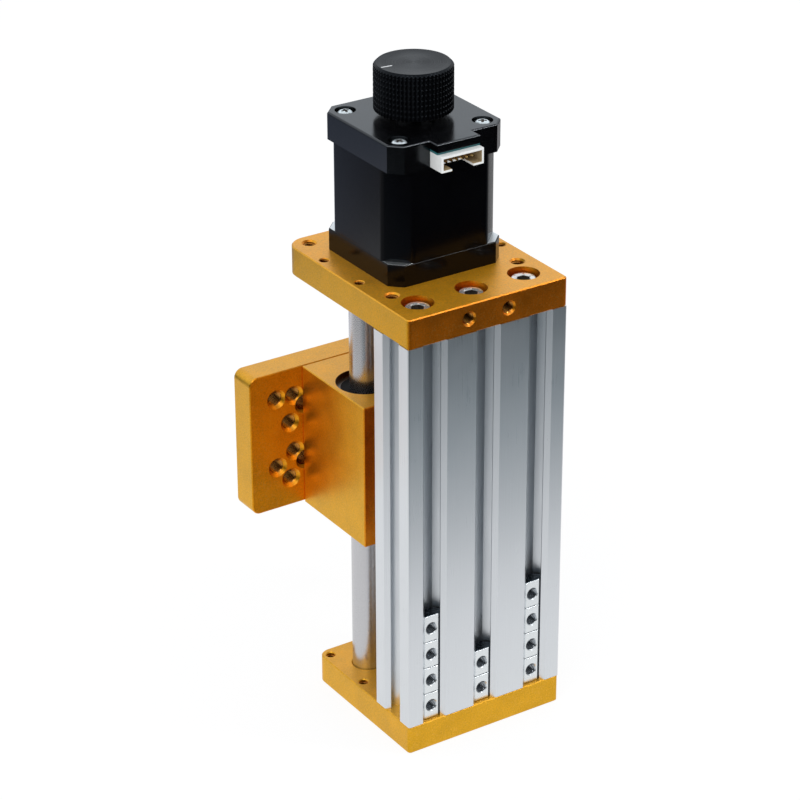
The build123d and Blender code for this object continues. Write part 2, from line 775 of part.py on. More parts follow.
def lead_nut():
    """Flanged nut under the block, its long barrel up in the block's bore."""
    face_z = block_bottom_z
    low_z = face_z - nut_flange_thickness
    body = upright(nut_flange_diameter, low_z, face_z)
    body = chamfer(body.edges().group_by(Axis.Z)[0], nut_flange_edge_break)
    body += upright(nut_barrel_diameter, low_z - nut_stub_length, face_z + nut_barrel_length)
    for x, y in nut_screw_places():
        body -= upright(m3 + 2 * shank_clearance, low_z - 1, face_z + 1, x, y)
    return body - upright(screw_diameter + 2 * running_clearance, 0, block_top_z)


def lead_nut_screws():
    """Screws that hold the nut's flange to the block."""
    low_z = block_bottom_z - nut_flange_thickness
    length = nut_flange_thickness + nut_screw_engagement
    screw = pan_screw(m3, pan_head_diameter, nut_stub_length, length)
    return [Pos(x, y, low_z) * Rot(180, 0, 0) * screw for x, y in nut_screw_places()]


def lead_screw():
    """Lead screw from below its end bearing up to the step in the coupler."""
    z0 = plate_thickness - end_bearing_width - screw_end_reach
    return chamfer(upright(screw_diameter, z0, coupler_step_z).edges(), screw_end_chamfer)


def set_screw_heights():
    """Heights of the coupler's set screws, one pair for each shaft end."""
    heights = []
    for low, high in ((coupler_bottom_z, coupler_step_z), (coupler_step_z, coupler_top_z)):
        inset = (high - low) / 4
        heights += [low + inset, high - inset]
    return heights


def set_screw_cutter(diameter, reach, z, turn):
    """Radial hole from the axis outwards, at one height."""
    return Rot(0, 0, turn) * Pos(reach / 2, 0, z) * Rot(0, 90, 0) * Cylinder(diameter / 2, reach)


def shaft_coupler():
    """Rigid coupler with a stepped bore for the screw and the motor shaft."""
    body = upright(coupler_diameter, coupler_bottom_z, coupler_top_z)
    body = chamfer(body.edges(), coupler_edge_break)
    body -= upright(screw_diameter, coupler_bottom_z - 1, coupler_step_z)
    body -= upright(motor_shaft_diameter, coupler_step_z - 1, coupler_top_z + 1)
    for z in set_screw_heights():
        body -= set_screw_cutter(m4, coupler_diameter, z, coupler_screw_turn)
    return body


def coupler_set_screws():
    """Set screws that clamp the coupler to the two shafts."""
    screws = []
    for z in set_screw_heights():
        shaft = screw_diameter if z < coupler_step_z else motor_shaft_diameter
        length = coupler_diameter / 2 - shaft / 2 - set_screw_sink
        middle = shaft / 2 + length / 2
        place = Rot(0, 0, coupler_screw_turn) * Pos(middle, 0, z) * Rot(0, 90, 0)
        screw = Cylinder(m4 / 2, length) - hex_socket(set_screw_hex_width, length / 2, length / 2)
        screws.append(place * screw)
    return screws


def motor_shaft():
    """Through shaft of the motor, with a flat for the knob's set screw."""
    z1 = knob_bottom_z + knob_height - knob_top_wall
    shaft = upright(motor_shaft_diameter, motor_shaft_end_z, z1)
    shaft = chamfer(shaft.edges(), shaft_end_chamfer)
    wide = motor_shaft_diameter
    return shaft - slab(shaft_flat_x, wide, -wide, wide, knob_bottom_z, z1 + 1)


def motor_rotor():
    """Magnet rotor on the shaft, with its two toothed cups as one cylinder each."""
    z0 = stator_bottom_z + motor_end_gap
    z1 = stator_top_z - motor_end_gap
    middle = (z0 + z1) / 2
    core = upright(motor_rotor_diameter, z0, middle - rotor_cup_gap / 2)
    core += upright(motor_rotor_diameter, middle + rotor_cup_gap / 2, z1)
    core += upright(motor_rotor_diameter - 2 * rotor_magnet_step, z0, z1)
    return core - upright(motor_shaft_diameter, z0 - 1, z1 + 1)


def knob():
    """Turned hand knob: knurled rim, hollow underside and a bored hub."""
    z0 = knob_bottom_z
    z1 = z0 + knob_height
    body = upright(knob_diameter, z0, z1)
    body = chamfer(body.edges().group_by(Axis.Z)[-1], knob_top_chamfer)
    place = Pos(knob_diameter / 2 + knob_groove_overcut, 0, z0 + knob_tooth_length / 2 - 1)
    side = (knob_tooth_depth + knob_groove_overcut) * sqrt(2)
    groove = place * Rot(0, 0, 45) * Box(side, side, knob_tooth_length + 2)
    step = 360 / knob_tooth_count
    body -= [Rot(0, 0, step * (i + 0.5)) * groove for i in range(knob_tooth_count)]
    hollow_top = z1 - knob_top_wall
    body -= ring(knob_diameter - 2 * knob_wall, knob_hub_diameter, z0 - 1, hollow_top)
    body -= upright(motor_shaft_diameter, z0 - 1, hollow_top)
    body -= set_screw_cutter(m3, knob_diameter, knob_screw_z, 0)
    return body


def knob_set_screw():
    """Set screw in the knob's hub, down on the flat of the shaft."""
    length = knob_hub_diameter / 2 - shaft_flat_x
    place = Pos(shaft_flat_x + length / 2, 0, knob_screw_z) * Rot(0, 90, 0)
    screw = Cylinder(m3 / 2, length)
    return place * (screw - hex_socket(knob_screw_hex_width, length / 2, length / 2))


def save(name, shape):
    """Write one sub-part; a list of pieces becomes one node of separate solids."""
    if isinstance(shape, list):
        shape = Compound(children=shape)
    export_step(shape, f"parts/{name}.step")


nodes = {
    "bottom_plate": bottom_plate(),
    "top_plate": top_plate(),
    "slotted_extrusion": slotted_extrusion(),
    "guide_rod_left": guide_rod(rod_xs[0]),
    "guide_rod_right": guide_rod(rod_xs[1]),
    "top_extrusion_screws": extrusion_screws(top_plate_top_z, 1),
    "bottom_extrusion_screws": extrusion_screws(0, -1),
    "bottom_rod_screws": bottom_rod_screws(),
    "motor_front_cap": motor_front_cap(),
    "motor_stator": motor_stator(),
    "motor_rear_cap": motor_rear_cap(),
    "motor_case_screws": motor_case_screws(),
    "motor_mount_screws": motor_mount_screws(),
    "motor_bearings": motor_bearings(),
    "connector_housing": connector_housing(),
    "connector_pins": connector_pins(),
    "connector_board": connector_board(),
    "screw_end_bearing": screw_end_bearing(),
    "t_nuts_left": nut_stack(slot_xs[0], left_nut_count),
    "t_nuts_middle": nut_stack(slot_xs[1], middle_nut_count),
    "t_nuts_right": nut_stack(slot_xs[2], right_nut_count),
    "carriage_block": carriage_block(),
    "carriage_plate": carriage_plate(),
    "linear_bearing_sleeves": linear_bearing_sleeves(),
    "linear_bearing_cages": linear_bearing_cages(),
    "linear_bearing_seals": linear_bearing_seals(),
    "lead_nut": lead_nut(),
    "lead_nut_screws": lead_nut_screws(),
    "carriage_plate_screws": carriage_plate_screws(),
    "lead_screw": lead_screw(),
    "shaft_coupler": shaft_coupler(),
    "coupler_set_screws": coupler_set_screws(),
    "motor_shaft": motor_shaft(),
    "motor_rotor": motor_rotor(),
    "knob": knob(),
    "knob_set_screw": knob_set_screw(),
}

for node_name, node_shape in nodes.items():
    save(node_name, node_shape)
print(len(nodes), "nodes")
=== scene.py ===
"""Looks of a motorised Z-axis module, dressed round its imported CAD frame."""
import json
import logging
import math
from contextlib import contextmanager
from dataclasses import dataclass, replace
from enum import Enum
from typing import Iterator, Sequence

import bmesh
import bpy
import numpy as np
from mathutils import Matrix, Vector

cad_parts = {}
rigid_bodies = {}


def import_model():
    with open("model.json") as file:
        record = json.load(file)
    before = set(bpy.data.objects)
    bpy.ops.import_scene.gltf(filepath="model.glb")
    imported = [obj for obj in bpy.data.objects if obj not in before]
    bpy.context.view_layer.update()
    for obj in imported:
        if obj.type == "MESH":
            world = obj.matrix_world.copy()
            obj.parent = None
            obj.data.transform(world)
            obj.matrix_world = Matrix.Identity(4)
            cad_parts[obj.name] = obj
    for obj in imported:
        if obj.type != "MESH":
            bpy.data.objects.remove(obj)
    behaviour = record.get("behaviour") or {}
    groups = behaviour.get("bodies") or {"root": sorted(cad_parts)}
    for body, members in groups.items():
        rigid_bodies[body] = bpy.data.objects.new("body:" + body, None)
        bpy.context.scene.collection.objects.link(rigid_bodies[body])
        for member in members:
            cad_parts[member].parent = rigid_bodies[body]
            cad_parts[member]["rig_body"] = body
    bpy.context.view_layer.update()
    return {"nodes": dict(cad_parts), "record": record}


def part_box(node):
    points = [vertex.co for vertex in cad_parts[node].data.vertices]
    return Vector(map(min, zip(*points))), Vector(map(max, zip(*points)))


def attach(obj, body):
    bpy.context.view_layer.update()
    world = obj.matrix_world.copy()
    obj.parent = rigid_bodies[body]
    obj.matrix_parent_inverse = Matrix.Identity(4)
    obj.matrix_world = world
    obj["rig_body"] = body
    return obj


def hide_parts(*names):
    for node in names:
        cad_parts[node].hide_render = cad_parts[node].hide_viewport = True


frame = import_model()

LOG = logging.getLogger("z_axis_module")
MM = 0.001
TAU = math.tau
MERGE_DISTANCE = 2e-6
SHARP_ANGLE = math.radians(28)

Array = np.ndarray
Socket = bpy.types.NodeSocket
Colour = tuple[float, float, float]
Point = tuple[float, float, float]
Radius = float | Array


class Grain(Enum):
    """How a surface was made, which sets the run of its fine marks."""

    BLASTED = "even pits of bead blasting"
    DRAWN = "lines along the extrusion"
    TURNED = "rings round the screw axis"
    MOULDED = "soft waves of paint or moulding"


class Graph:
    """The nodes of a material or of the world, under construction."""

    def __init__(self, owner: bpy.types.Material | bpy.types.World) -> None:
        """Turn the owner's nodes on, and find its Principled shader if it has one.

        Args:
            owner: the material or the world.
        """
        owner.use_nodes = True
        self.owner = owner
        self.tree = owner.node_tree
        self.shader = self.tree.nodes.get("Principled BSDF")

    def add(self, kind: str, inputs: dict | None = None, **settings: object) -> bpy.types.Node:
        """Add one node.

        Args:
            kind: the node's type, without the ShaderNode prefix.
            inputs: values or sockets for its inputs, by name or number.
            settings: attributes of the node.

        Returns:
            The new node.
        """
        node = self.tree.nodes.new("ShaderNode" + kind)
        for key, value in settings.items():
            setattr(node, key, value)
        for key, value in (inputs or {}).items():
            self.feed(node.inputs[key], value)
        return node

    def feed(self, socket: Socket, value: object) -> None:
        """Link a socket to an input, or set the input's own value.

        Args:
            socket: the input.
            value: another node's output, or a plain value.
        """
        if isinstance(value, Socket):
            self.tree.links.new(value, socket)
        else:
            socket.default_value = value

    def set(self, **values: object) -> None:
        """Set or link inputs of the shader; an underscore in a name stands for a space."""
        for key, value in values.items():
            self.feed(self.shader.inputs[key.replace("_", " ")], value)

    def math(self, operation: str, *values: object) -> Socket:
        """Result of a Math node on numbers or sockets."""
        return self.add("Math", dict(enumerate(values)), operation=operation).outputs[0]

    def length(self, vector: Socket) -> Socket:
        """Length of a vector."""
        return self.add("VectorMath", {0: vector}, operation="LENGTH").outputs["Value"]

    def position(self) -> Socket:
        """Object coordinates, in metres."""
        return self.add("TexCoord").outputs["Object"]

    def axes(self, vector: Socket | None = None) -> dict[str, Socket]:
        """X, Y and Z of a vector, or of the Object coordinates."""
        node = self.add("SeparateXYZ", {0: self.position() if vector is None else vector})
        return {socket.name: socket for socket in node.outputs}

    def stretched(self, *scale: float) -> Socket:
        """Object coordinates with a scale, in cells per metre: one for all axes, or one for each."""
        inputs = {"Vector": self.position(), "Scale": scale * 3 if len(scale) == 1 else scale}
        return self.add("Mapping", inputs).outputs["Vector"]

    def ringed(self, cells: float) -> Socket:
        """Distance from the Z axis and height as a pattern's first and third coordinate.

        Args:
            cells: cells per metre across the rings.

        Returns:
            The vector (distance, 0, height), scaled.
        """
        far = self.length(self.stretched(cells, cells, 0.0))
        tall = self.axes(self.stretched(0.0, 0.0, cells))["Z"]
        return self.add("CombineXYZ", {"X": far, "Z": tall}).outputs[0]

    def noise(self, vector: Socket, detail: float = 2.0) -> Socket:
        """Noise of one cell per unit of its vector."""
        return self.add("TexNoise", {"Vector": vector, "Scale": 1.0, "Detail": detail}).outputs["Fac"]

    def spread(self, value: Socket, low: float, high: float, start: float = 0.3, end: float = 0.7,
               **settings: str) -> Socket:
        """Carry a value's middle range to another range.

        Args:
            value: the value.
            low: result at the start.
            high: result at the end.
            start: value that gives low.
            end: value that gives high.
            settings: attributes of the node.

        Returns:
            The new value.
        """
        node = self.add("MapRange", {"Value": value, "From Min": start, "From Max": end,
                                     "To Min": low, "To Max": high}, **settings)
        return node.outputs["Result"]

    def tint(self, share: Socket, first: Socket | Colour, second: Socket | Colour) -> Socket:
        """Mix two colours or colour sockets.

        Args:
            share: share of the second.
            first: colour at 0.
            second: colour at 1.

        Returns:
            The mixed colour.
        """
        node = self.add("Mix", data_type="RGBA")
        self.feed(node.inputs[0], share)
        for socket, value in ((node.inputs[6], first), (node.inputs[7], second)):
            self.feed(socket, (*value, 1.0) if isinstance(value, tuple) else value)
        return node.outputs[2]

    def ramp(self, value: Socket, stops: Sequence[tuple[float, Colour]]) -> Socket:
        """Colour that runs from stop to stop.

        Args:
            value: the value, from 0 to 1.
            stops: value and colour of each stop, in rising order.

        Returns:
            The colour.
        """
        node = self.add("ValToRGB", {0: value})
        elements = node.color_ramp.elements
        while len(elements) < len(stops):
            elements.new(0.5)
        for element, (spot, _) in zip(elements, stops):
            element.position = spot
        for element, (_, colour) in zip(elements, stops):
            element.color = (*colour, 1.0)
        return node.outputs["Color"]

    def relief(self, height: Socket, depth: float, under: Socket | None = None) -> Socket:
        """Bump of a height over another bump.

        Args:
            height: the height, from 0 to 1.
            depth: its full range, in millimetres.
            under: normal that the bump stands on.

        Returns:
            The normal.
        """
        inputs = {"Height": height, "Strength": 1.0, "Distance": depth * MM}
        if under is not None:
            inputs["Normal"] = under
        return self.add("Bump", inputs).outputs["Normal"]

    def blend(self, share: Socket | float, first: Socket, second: Socket) -> Socket:
        """Mix two shaders by a share."""
        return self.add("MixShader", {0: share, 1: first, 2: second}).outputs[0]


def scaled(colour: Colour, factor: float) -> Colour:
    """A colour times a factor, kept under 1."""
    return tuple(min(channel * factor, 1.0) for channel in colour)


@dataclass(frozen=True)
class Finish:
    """A surface finish with its grain, all lengths in millimetres."""

    name: str
    colour: Colour
    metallic: float
    roughness: float
    grain: Grain
    cell: float = 0.35
    relief: float = 0.004
    mottle: float = 0.06
    patch: float = 9.0
    wander: float = 0.05
    specular: float = 0.5
    run: float = 160.0
    aging: float = 0.6
    cast: Colour = (1.0, 1.0, 1.0)

    def vector(self, graph: Graph) -> Socket:
        """Coordinates of the fine grain.

        Args:
            graph: the material.

        Returns:
            The vector, one unit for each cell.
        """
        cells = 1.0 / (self.cell * MM)
        if self.grain is Grain.DRAWN:
            return graph.stretched(cells, cells, cells / self.run)
        if self.grain is Grain.TURNED:
            return graph.ringed(cells)
        return graph.stretched(cells)

    def material(self) -> bpy.types.Material:
        """Material of the finish, made once and shared.

        Its colour is mottled by the fine grain in some regions and by broad patches in others.

        Returns:
            The material.
        """
        label = f"{self.name}_look"
        known = bpy.data.materials.get(label)
        if known is not None:
            return known
        graph = Graph(bpy.data.materials.new(label))
        patches = 1.0 / (self.patch * MM)
        fine = graph.noise(self.vector(graph))
        broad = graph.noise(graph.stretched(patches), 3.0)
        region = graph.spread(graph.noise(graph.stretched(patches * 2.3)), 0.35, 0.65)
        grained, aged = (graph.tint(graph.spread(noise, 0.0, 1.0), scaled(self.colour, 1.0 - swing),
                                    scaled(self.colour, 1.0 + swing))
                         for noise, swing in ((fine, self.mottle), (broad, self.aging * self.mottle)))
        graph.set(Metallic=self.metallic, Specular_IOR_Level=self.specular,
                  Specular_Tint=(*self.cast, 1.0), Roughness=self.gloss(graph, fine, broad),
                  Normal=graph.relief(fine, self.relief, graph.relief(broad, 0.5 * self.relief)))
        graph.set(Base_Color=self.tone_and_painted_light(graph, graph.tint(region, grained, aged)))
        return graph.owner

    def tone_and_painted_light(self, graph: Graph, colour: Socket) -> Socket:
        """Last change of the colour: a second tone on some finishes, painted light and shade on others;
        plain finishes keep it.
        """
        return colour

    def gloss(self, graph: Graph, fine: Socket, broad: Socket) -> Socket:
        """Roughness that follows the grain and the broad patches.

        Args:
            graph: the material.
            fine: the grain's noise.
            broad: the patches' noise.

        Returns:
            The roughness.
        """
        near = graph.spread(fine, self.roughness - self.wander, self.roughness + self.wander)
        far = graph.spread(broad, -0.5 * self.wander, 0.5 * self.wander)
        return graph.math("ADD", near, far)


@dataclass(frozen=True)
class SparklingFinish(Finish):
    """Dyed anodising over a bead-blasted face, with painted glints in small bright cells.

    Faces that look up are duller under a clear skin and take a painted tone for the light on them,
    and those that look to the front take a darker, redder painted shade.
    """

    # Painted glints: a share of small cells tinted towards a bright colour.
    sparkle: float = 0.15
    glint: Colour = (1.0, 0.62, 0.16)
    # Painted light: a tone for faces that look up, then a darker, redder painted shade for faces that
    # look to the front.
    crown: Colour = (0.84, 0.39, 0.010)
    painted_front_shade: Colour = (0.94, 0.34, 0.010)
    dull: float = 0.40
    skin: float = 0.28
    raised: tuple[float, float] = (0.3, 0.9)

    def tone_and_painted_light(self, graph: Graph, colour: Socket) -> Socket:
        """Tint faces that look up with a painted tone and faces that look to the front with painted
        shade, and add painted glints as bright cells of a Voronoi pattern.

        Args:
            graph: the material.
            colour: the colour so far.

        Returns:
            The new colour.
        """
        facing = graph.axes(graph.add("NewGeometry").outputs["Normal"])
        raised = self.raised
        top_painted_share = graph.spread(facing["Z"], 0.0, 1.0, *raised)
        front_painted_share = graph.spread(facing["Y"], 1.0, 0.0, -raised[1], -raised[0])
        graph.set(Metallic=graph.spread(facing["Z"], 1.0, 1.0 - self.dull, *raised),
                  Coat_Weight=graph.spread(facing["Z"], 0.0, self.skin, *raised),
                  Coat_Roughness=self.roughness)
        # Painted light: faces that look up take the painted top tone, faces that look to the front the
        # painted shade.
        for share, painted_tone in ((top_painted_share, self.crown), (front_painted_share, self.painted_front_shade)):
            level = [new / old for new, old in zip(painted_tone, self.colour)]
            painted_colour = graph.add("VectorMath", {0: colour, 1: level}, operation="MULTIPLY").outputs[0]
            colour = graph.tint(share, colour, painted_colour)
        # Painted glints: the brightest Voronoi cells are mixed towards a bright colour.
        cells = 1.0 / (self.cell * MM)
        glint_cells = graph.add("TexVoronoi", {"Vector": graph.stretched(cells), "Scale": 1.0})
        chance = graph.add("SeparateColor", {0: glint_cells.outputs["Color"]}).outputs[0]
        return graph.tint(graph.spread(chance, 0.0, self.sparkle, 0.75, 1.0), colour, self.glint)


@dataclass(frozen=True)
class ShadedBoreFinish(SparklingFinish):
    """The same anodising with painted shade in the bores round the two rods."""

    rod: float = 19.0
    bore: float = 9.6
    # Colour of the painted shade in the bores.
    bore_shade: Colour = (0.05, 0.018, 0.006)

    def tone_and_painted_light(self, graph: Graph, colour: Socket) -> Socket:
        """Paint shade on what lies nearer to a rod's axis than the bore's rim.

        Args:
            graph: the material.
            colour: the colour so far.

        Returns:
            The new colour.
        """
        parts = graph.axes()
        off = graph.math("SUBTRACT", graph.math("ABSOLUTE", parts["X"]), self.rod * MM)
        far = graph.length(graph.add("CombineXYZ", {"X": off, "Y": parts["Y"]}).outputs[0])
        share = graph.spread(far, 1.0, 0.0, (self.bore - 0.1) * MM, self.bore * MM)
        return graph.tint(share, super().tone_and_painted_light(graph, colour), self.bore_shade)


@dataclass(frozen=True)
class SpunFinish(Finish):
    """Face turned in fine rings round the Z axis, which draw highlights out into fans."""

    pull: float = 0.6

    def tone_and_painted_light(self, graph: Graph, colour: Socket) -> Socket:
        """Stretch the highlights across the rings.

        Args:
            graph: the material.
            colour: the colour so far.

        Returns:
            The new colour.
        """
        around = graph.add("Tangent", direction_type="RADIAL", axis="Z").outputs[0]
        graph.set(Anisotropic=self.pull, Tangent=around)
        return colour


@dataclass(frozen=True)
class BareLedgeFinish(Finish):
    """Painted part whose upper face, above a height, is bare machined metal."""

    ledge: float = 0.0
    bare: Colour = (0.80, 0.83, 0.84)
    bare_roughness: float = 0.40

    def bared(self, graph: Graph) -> Socket:
        """Share of bare metal, from the height of the point."""
        height = graph.axes()["Z"]
        return graph.spread(height, 0.0, 1.0, (self.ledge - 0.03) * MM, (self.ledge - 0.01) * MM)

    def tone_and_painted_light(self, graph: Graph, colour: Socket) -> Socket:
        """Lay the bare metal over the paint."""
        graph.set(Metallic=self.bared(graph))
        return graph.tint(self.bared(graph), colour, self.bare)

    def gloss(self, graph: Graph, fine: Socket, broad: Socket) -> Socket:
        """Roughness of the paint, or of the bare metal above the ledge's height.

        Args:
            graph: the material.
            fine: the grain's noise.
            broad: the patches' noise.

        Returns:
            The roughness.
        """
        painted = super().gloss(graph, fine, broad)
        node = graph.add("Mix", {0: self.bared(graph), 2: painted, 3: self.bare_roughness})
        return node.outputs[0]


@dataclass(frozen=True)
class StackedFinish(Finish):
    """Finish of pieces in a row, with shade in their joints, on their top and beside their necks."""

    foot: float = 0.0
    top: float = 0.0
    pitch: float = 9.75
    centre: float = 0.0
    neck: float = 2.8
    shade: Colour = (0.020, 0.028, 0.036)

    def tone_and_painted_light(self, graph: Graph, colour: Socket) -> Socket:
        """Darken the joints, at whole multiples of the pitch above the foot, and the covered faces.

        Args:
            graph: the material.
            colour: the colour so far.

        Returns:
            The new colour.
        """
        parts = graph.axes()
        steps = graph.math("DIVIDE", graph.math("SUBTRACT", parts["Z"], self.foot * MM), self.pitch * MM)
        near = graph.math("PINGPONG", steps, 1.0)
        seam = graph.math("MINIMUM", near, graph.math("SUBTRACT", 1.0, near))
        joint = graph.spread(seam, 0.85, 0.0, 0.010, 0.026)
        lid = graph.spread(parts["Z"], 0.0, 1.0, (self.top - 0.22) * MM, (self.top - 0.12) * MM)
        away = graph.math("ABSOLUTE", graph.math("SUBTRACT", parts["X"], self.centre * MM))
        wing = graph.spread(away, 0.0, 0.95, (self.neck - 0.02) * MM, (self.neck + 0.04) * MM)
        share = graph.math("MAXIMUM", graph.math("MAXIMUM", joint, lid), wing)
        return graph.tint(share, colour, self.shade)


# A finish's colour is linear, and its metallic share, roughness and grain follow.
GOLD = SparklingFinish("gold_blasted", (0.82, 0.425, 0.026), 1.0, 0.39, Grain.BLASTED,
                       cell=0.50, relief=0.030, mottle=0.30, wander=0.06)
# Foot plate: no painted front shade. Top plate: its own painted top tone and a darker painted front
# shade.
GOLD_FOOT = replace(GOLD, name="gold_foot", painted_front_shade=GOLD.colour)
GOLD_TOP = replace(GOLD, name="gold_top", painted_front_shade=(0.84, 0.22, 0.006), crown=(0.92, 0.40, 0.012))
# The block's finish adds painted shade in its rod bores and a darker, redder painted front shade.
GOLD_BLOCK = ShadedBoreFinish("gold_bore_shaded", GOLD.colour, 1.0, GOLD.roughness, Grain.BLASTED,
                         cell=GOLD.cell, relief=GOLD.relief, mottle=GOLD.mottle, wander=GOLD.wander,
                         painted_front_shade=(0.98, 0.27, 0.012))
# Darker gold for the thread linings: painted shade inside the holes.
SHADED_GOLD_THREAD = Finish("gold_thread_shaded", (0.55, 0.235, 0.045), 1.0, 0.26, Grain.BLASTED,
                     cell=0.3, relief=0.003, mottle=0.08)
DRAWN_ALUMINIUM = Finish("drawn_aluminium", (0.78, 0.81, 0.84), 1.0, 0.33, Grain.DRAWN,
                         cell=0.12, relief=0.0015, mottle=0.05, patch=14.0)
GROUND_ROD = Finish("ground_rod", (0.60, 0.60, 0.62), 1.0, 0.27, Grain.TURNED,
                    cell=0.18, relief=0.0004, mottle=0.03, wander=0.03)
ZINC_NUT = StackedFinish("bright_zinc", (0.86, 0.90, 0.92), 1.0, 0.30, Grain.BLASTED,
                         cell=0.5, relief=0.002, mottle=0.05, patch=4.0, wander=0.06)
# Darker zinc for the thread linings: painted shade inside the nuts' holes.
SHADED_ZINC_THREAD = Finish("zinc_thread_shaded", (0.46, 0.50, 0.54), 1.0, 0.24, Grain.BLASTED,
                     cell=0.3, relief=0.002, mottle=0.08)
ZINC_SCREW = Finish("zinc_screw", (0.88, 0.87, 0.85), 0.75, 0.22, Grain.BLASTED,
                    cell=0.25, relief=0.003, mottle=0.08, patch=2.5, wander=0.07)
SOCKET_SHADE = Finish("socket_shade", (0.30, 0.27, 0.24), 1.0, 0.36, Grain.BLASTED,
                      cell=0.25, relief=0.002, mottle=0.10)
BLUE_ZINC = Finish("blue_zinc", (0.84, 0.92, 0.96), 0.55, 0.25, Grain.BLASTED,
                   cell=0.25, relief=0.002, mottle=0.08, patch=2.5, wander=0.05)
COOL = (0.86, 0.93, 1.0)
BLACK_CAP = Finish("satin_black_cap", (0.0012, 0.0012, 0.0016), 0.0, 0.20, Grain.MOULDED,
                   cell=0.45, relief=0.004, mottle=0.2, wander=0.04, specular=0.68, cast=COOL)
BLACK_FLANGE = BareLedgeFinish("flange_black", (0.0012, 0.0012, 0.0016), 0.0, 0.20, Grain.MOULDED,
                               cell=0.45, relief=0.004, mottle=0.2, wander=0.04, specular=0.17)
BLACK_STACK = Finish("black_laminations", (0.0012, 0.0012, 0.0018), 0.0, 0.17, Grain.MOULDED,
                     cell=0.5, relief=0.002, mottle=0.2, wander=0.04, specular=0.20, cast=COOL)
# Darker steel for the bearing sleeves: painted shade in the block's bores.
SHADED_SLEEVE_STEEL = Finish("sleeve_steel_shaded", (0.20, 0.19, 0.18), 1.0, 0.42, Grain.TURNED,
                      cell=0.15, relief=0.001, mottle=0.06)
BEARING_STEEL = Finish("bearing_steel", (0.66, 0.67, 0.69), 1.0, 0.22, Grain.TURNED,
                       cell=0.15, relief=0.001, mottle=0.04)
CAGE_RESIN = Finish("cage_resin", (0.03, 0.032, 0.035), 0.0, 0.45, Grain.MOULDED, cell=0.6)
SEAL_RUBBER = Finish("seal_rubber", (0.006, 0.006, 0.007), 0.0, 0.62, Grain.MOULDED,
                     cell=0.3, specular=0.12)
IVORY = Finish("ivory_housing", (0.90, 0.90, 0.87), 0.0, 0.40, Grain.MOULDED,
               cell=0.8, relief=0.004, mottle=0.03)
# Darker, browner ivory: painted shade inside the connector's cavity.
IVORY_CAVITY_SHADE = Finish("ivory_cavity_shaded", (0.42, 0.32, 0.18), 0.0, 0.55, Grain.MOULDED, cell=0.8)
PIN_BRASS = Finish("pin_brass", (0.80, 0.56, 0.22), 1.0, 0.22, Grain.DRAWN, cell=0.1)
BOARD = Finish("circuit_board", (0.03, 0.16, 0.17), 0.0, 0.35, Grain.BLASTED, cell=0.2, mottle=0.2)
NUT_BRASS = Finish("turned_brass", (0.74, 0.50, 0.19), 1.0, 0.26, Grain.TURNED,
                   cell=0.22, relief=0.003, mottle=0.06)
SCREW_STEEL = Finish("rolled_steel", (0.56, 0.56, 0.57), 1.0, 0.24, Grain.BLASTED,
                     cell=0.3, relief=0.002, mottle=0.08)
SHAFT_STEEL = Finish("shaft_steel", (0.60, 0.60, 0.62), 1.0, 0.20, Grain.TURNED,
                     cell=0.15, relief=0.001, mottle=0.04)
COUPLER = Finish("turned_aluminium", (0.78, 0.79, 0.81), 1.0, 0.25, Grain.TURNED,
                 cell=0.20, relief=0.003, mottle=0.05)
BLACK_OXIDE = Finish("black_oxide", (0.025, 0.024, 0.026), 0.7, 0.35, Grain.BLASTED, cell=0.3)
KNOB_BLACK = SpunFinish("knob_anodised", (0.001, 0.001, 0.0014), 0.0, 0.30, Grain.TURNED,
                        cell=0.16, relief=0.002, mottle=0.3, wander=0.06, specular=0.19,
                        cast=(0.74, 0.86, 1.0))
POINTER_WHITE = Finish("pointer_paint", (0.82, 0.82, 0.82), 0.0, 0.5, Grain.MOULDED, cell=0.5)


@contextmanager
def edited(mesh: bpy.types.Mesh) -> Iterator[bmesh.types.BMesh]:
    """Open a mesh for bmesh operators, and write it back at the end.

    Args:
        mesh: the mesh.

    Yields:
        Its editable copy.
    """
    work = bmesh.new()
    work.from_mesh(mesh)
    yield work
    work.to_mesh(mesh)
    work.free()


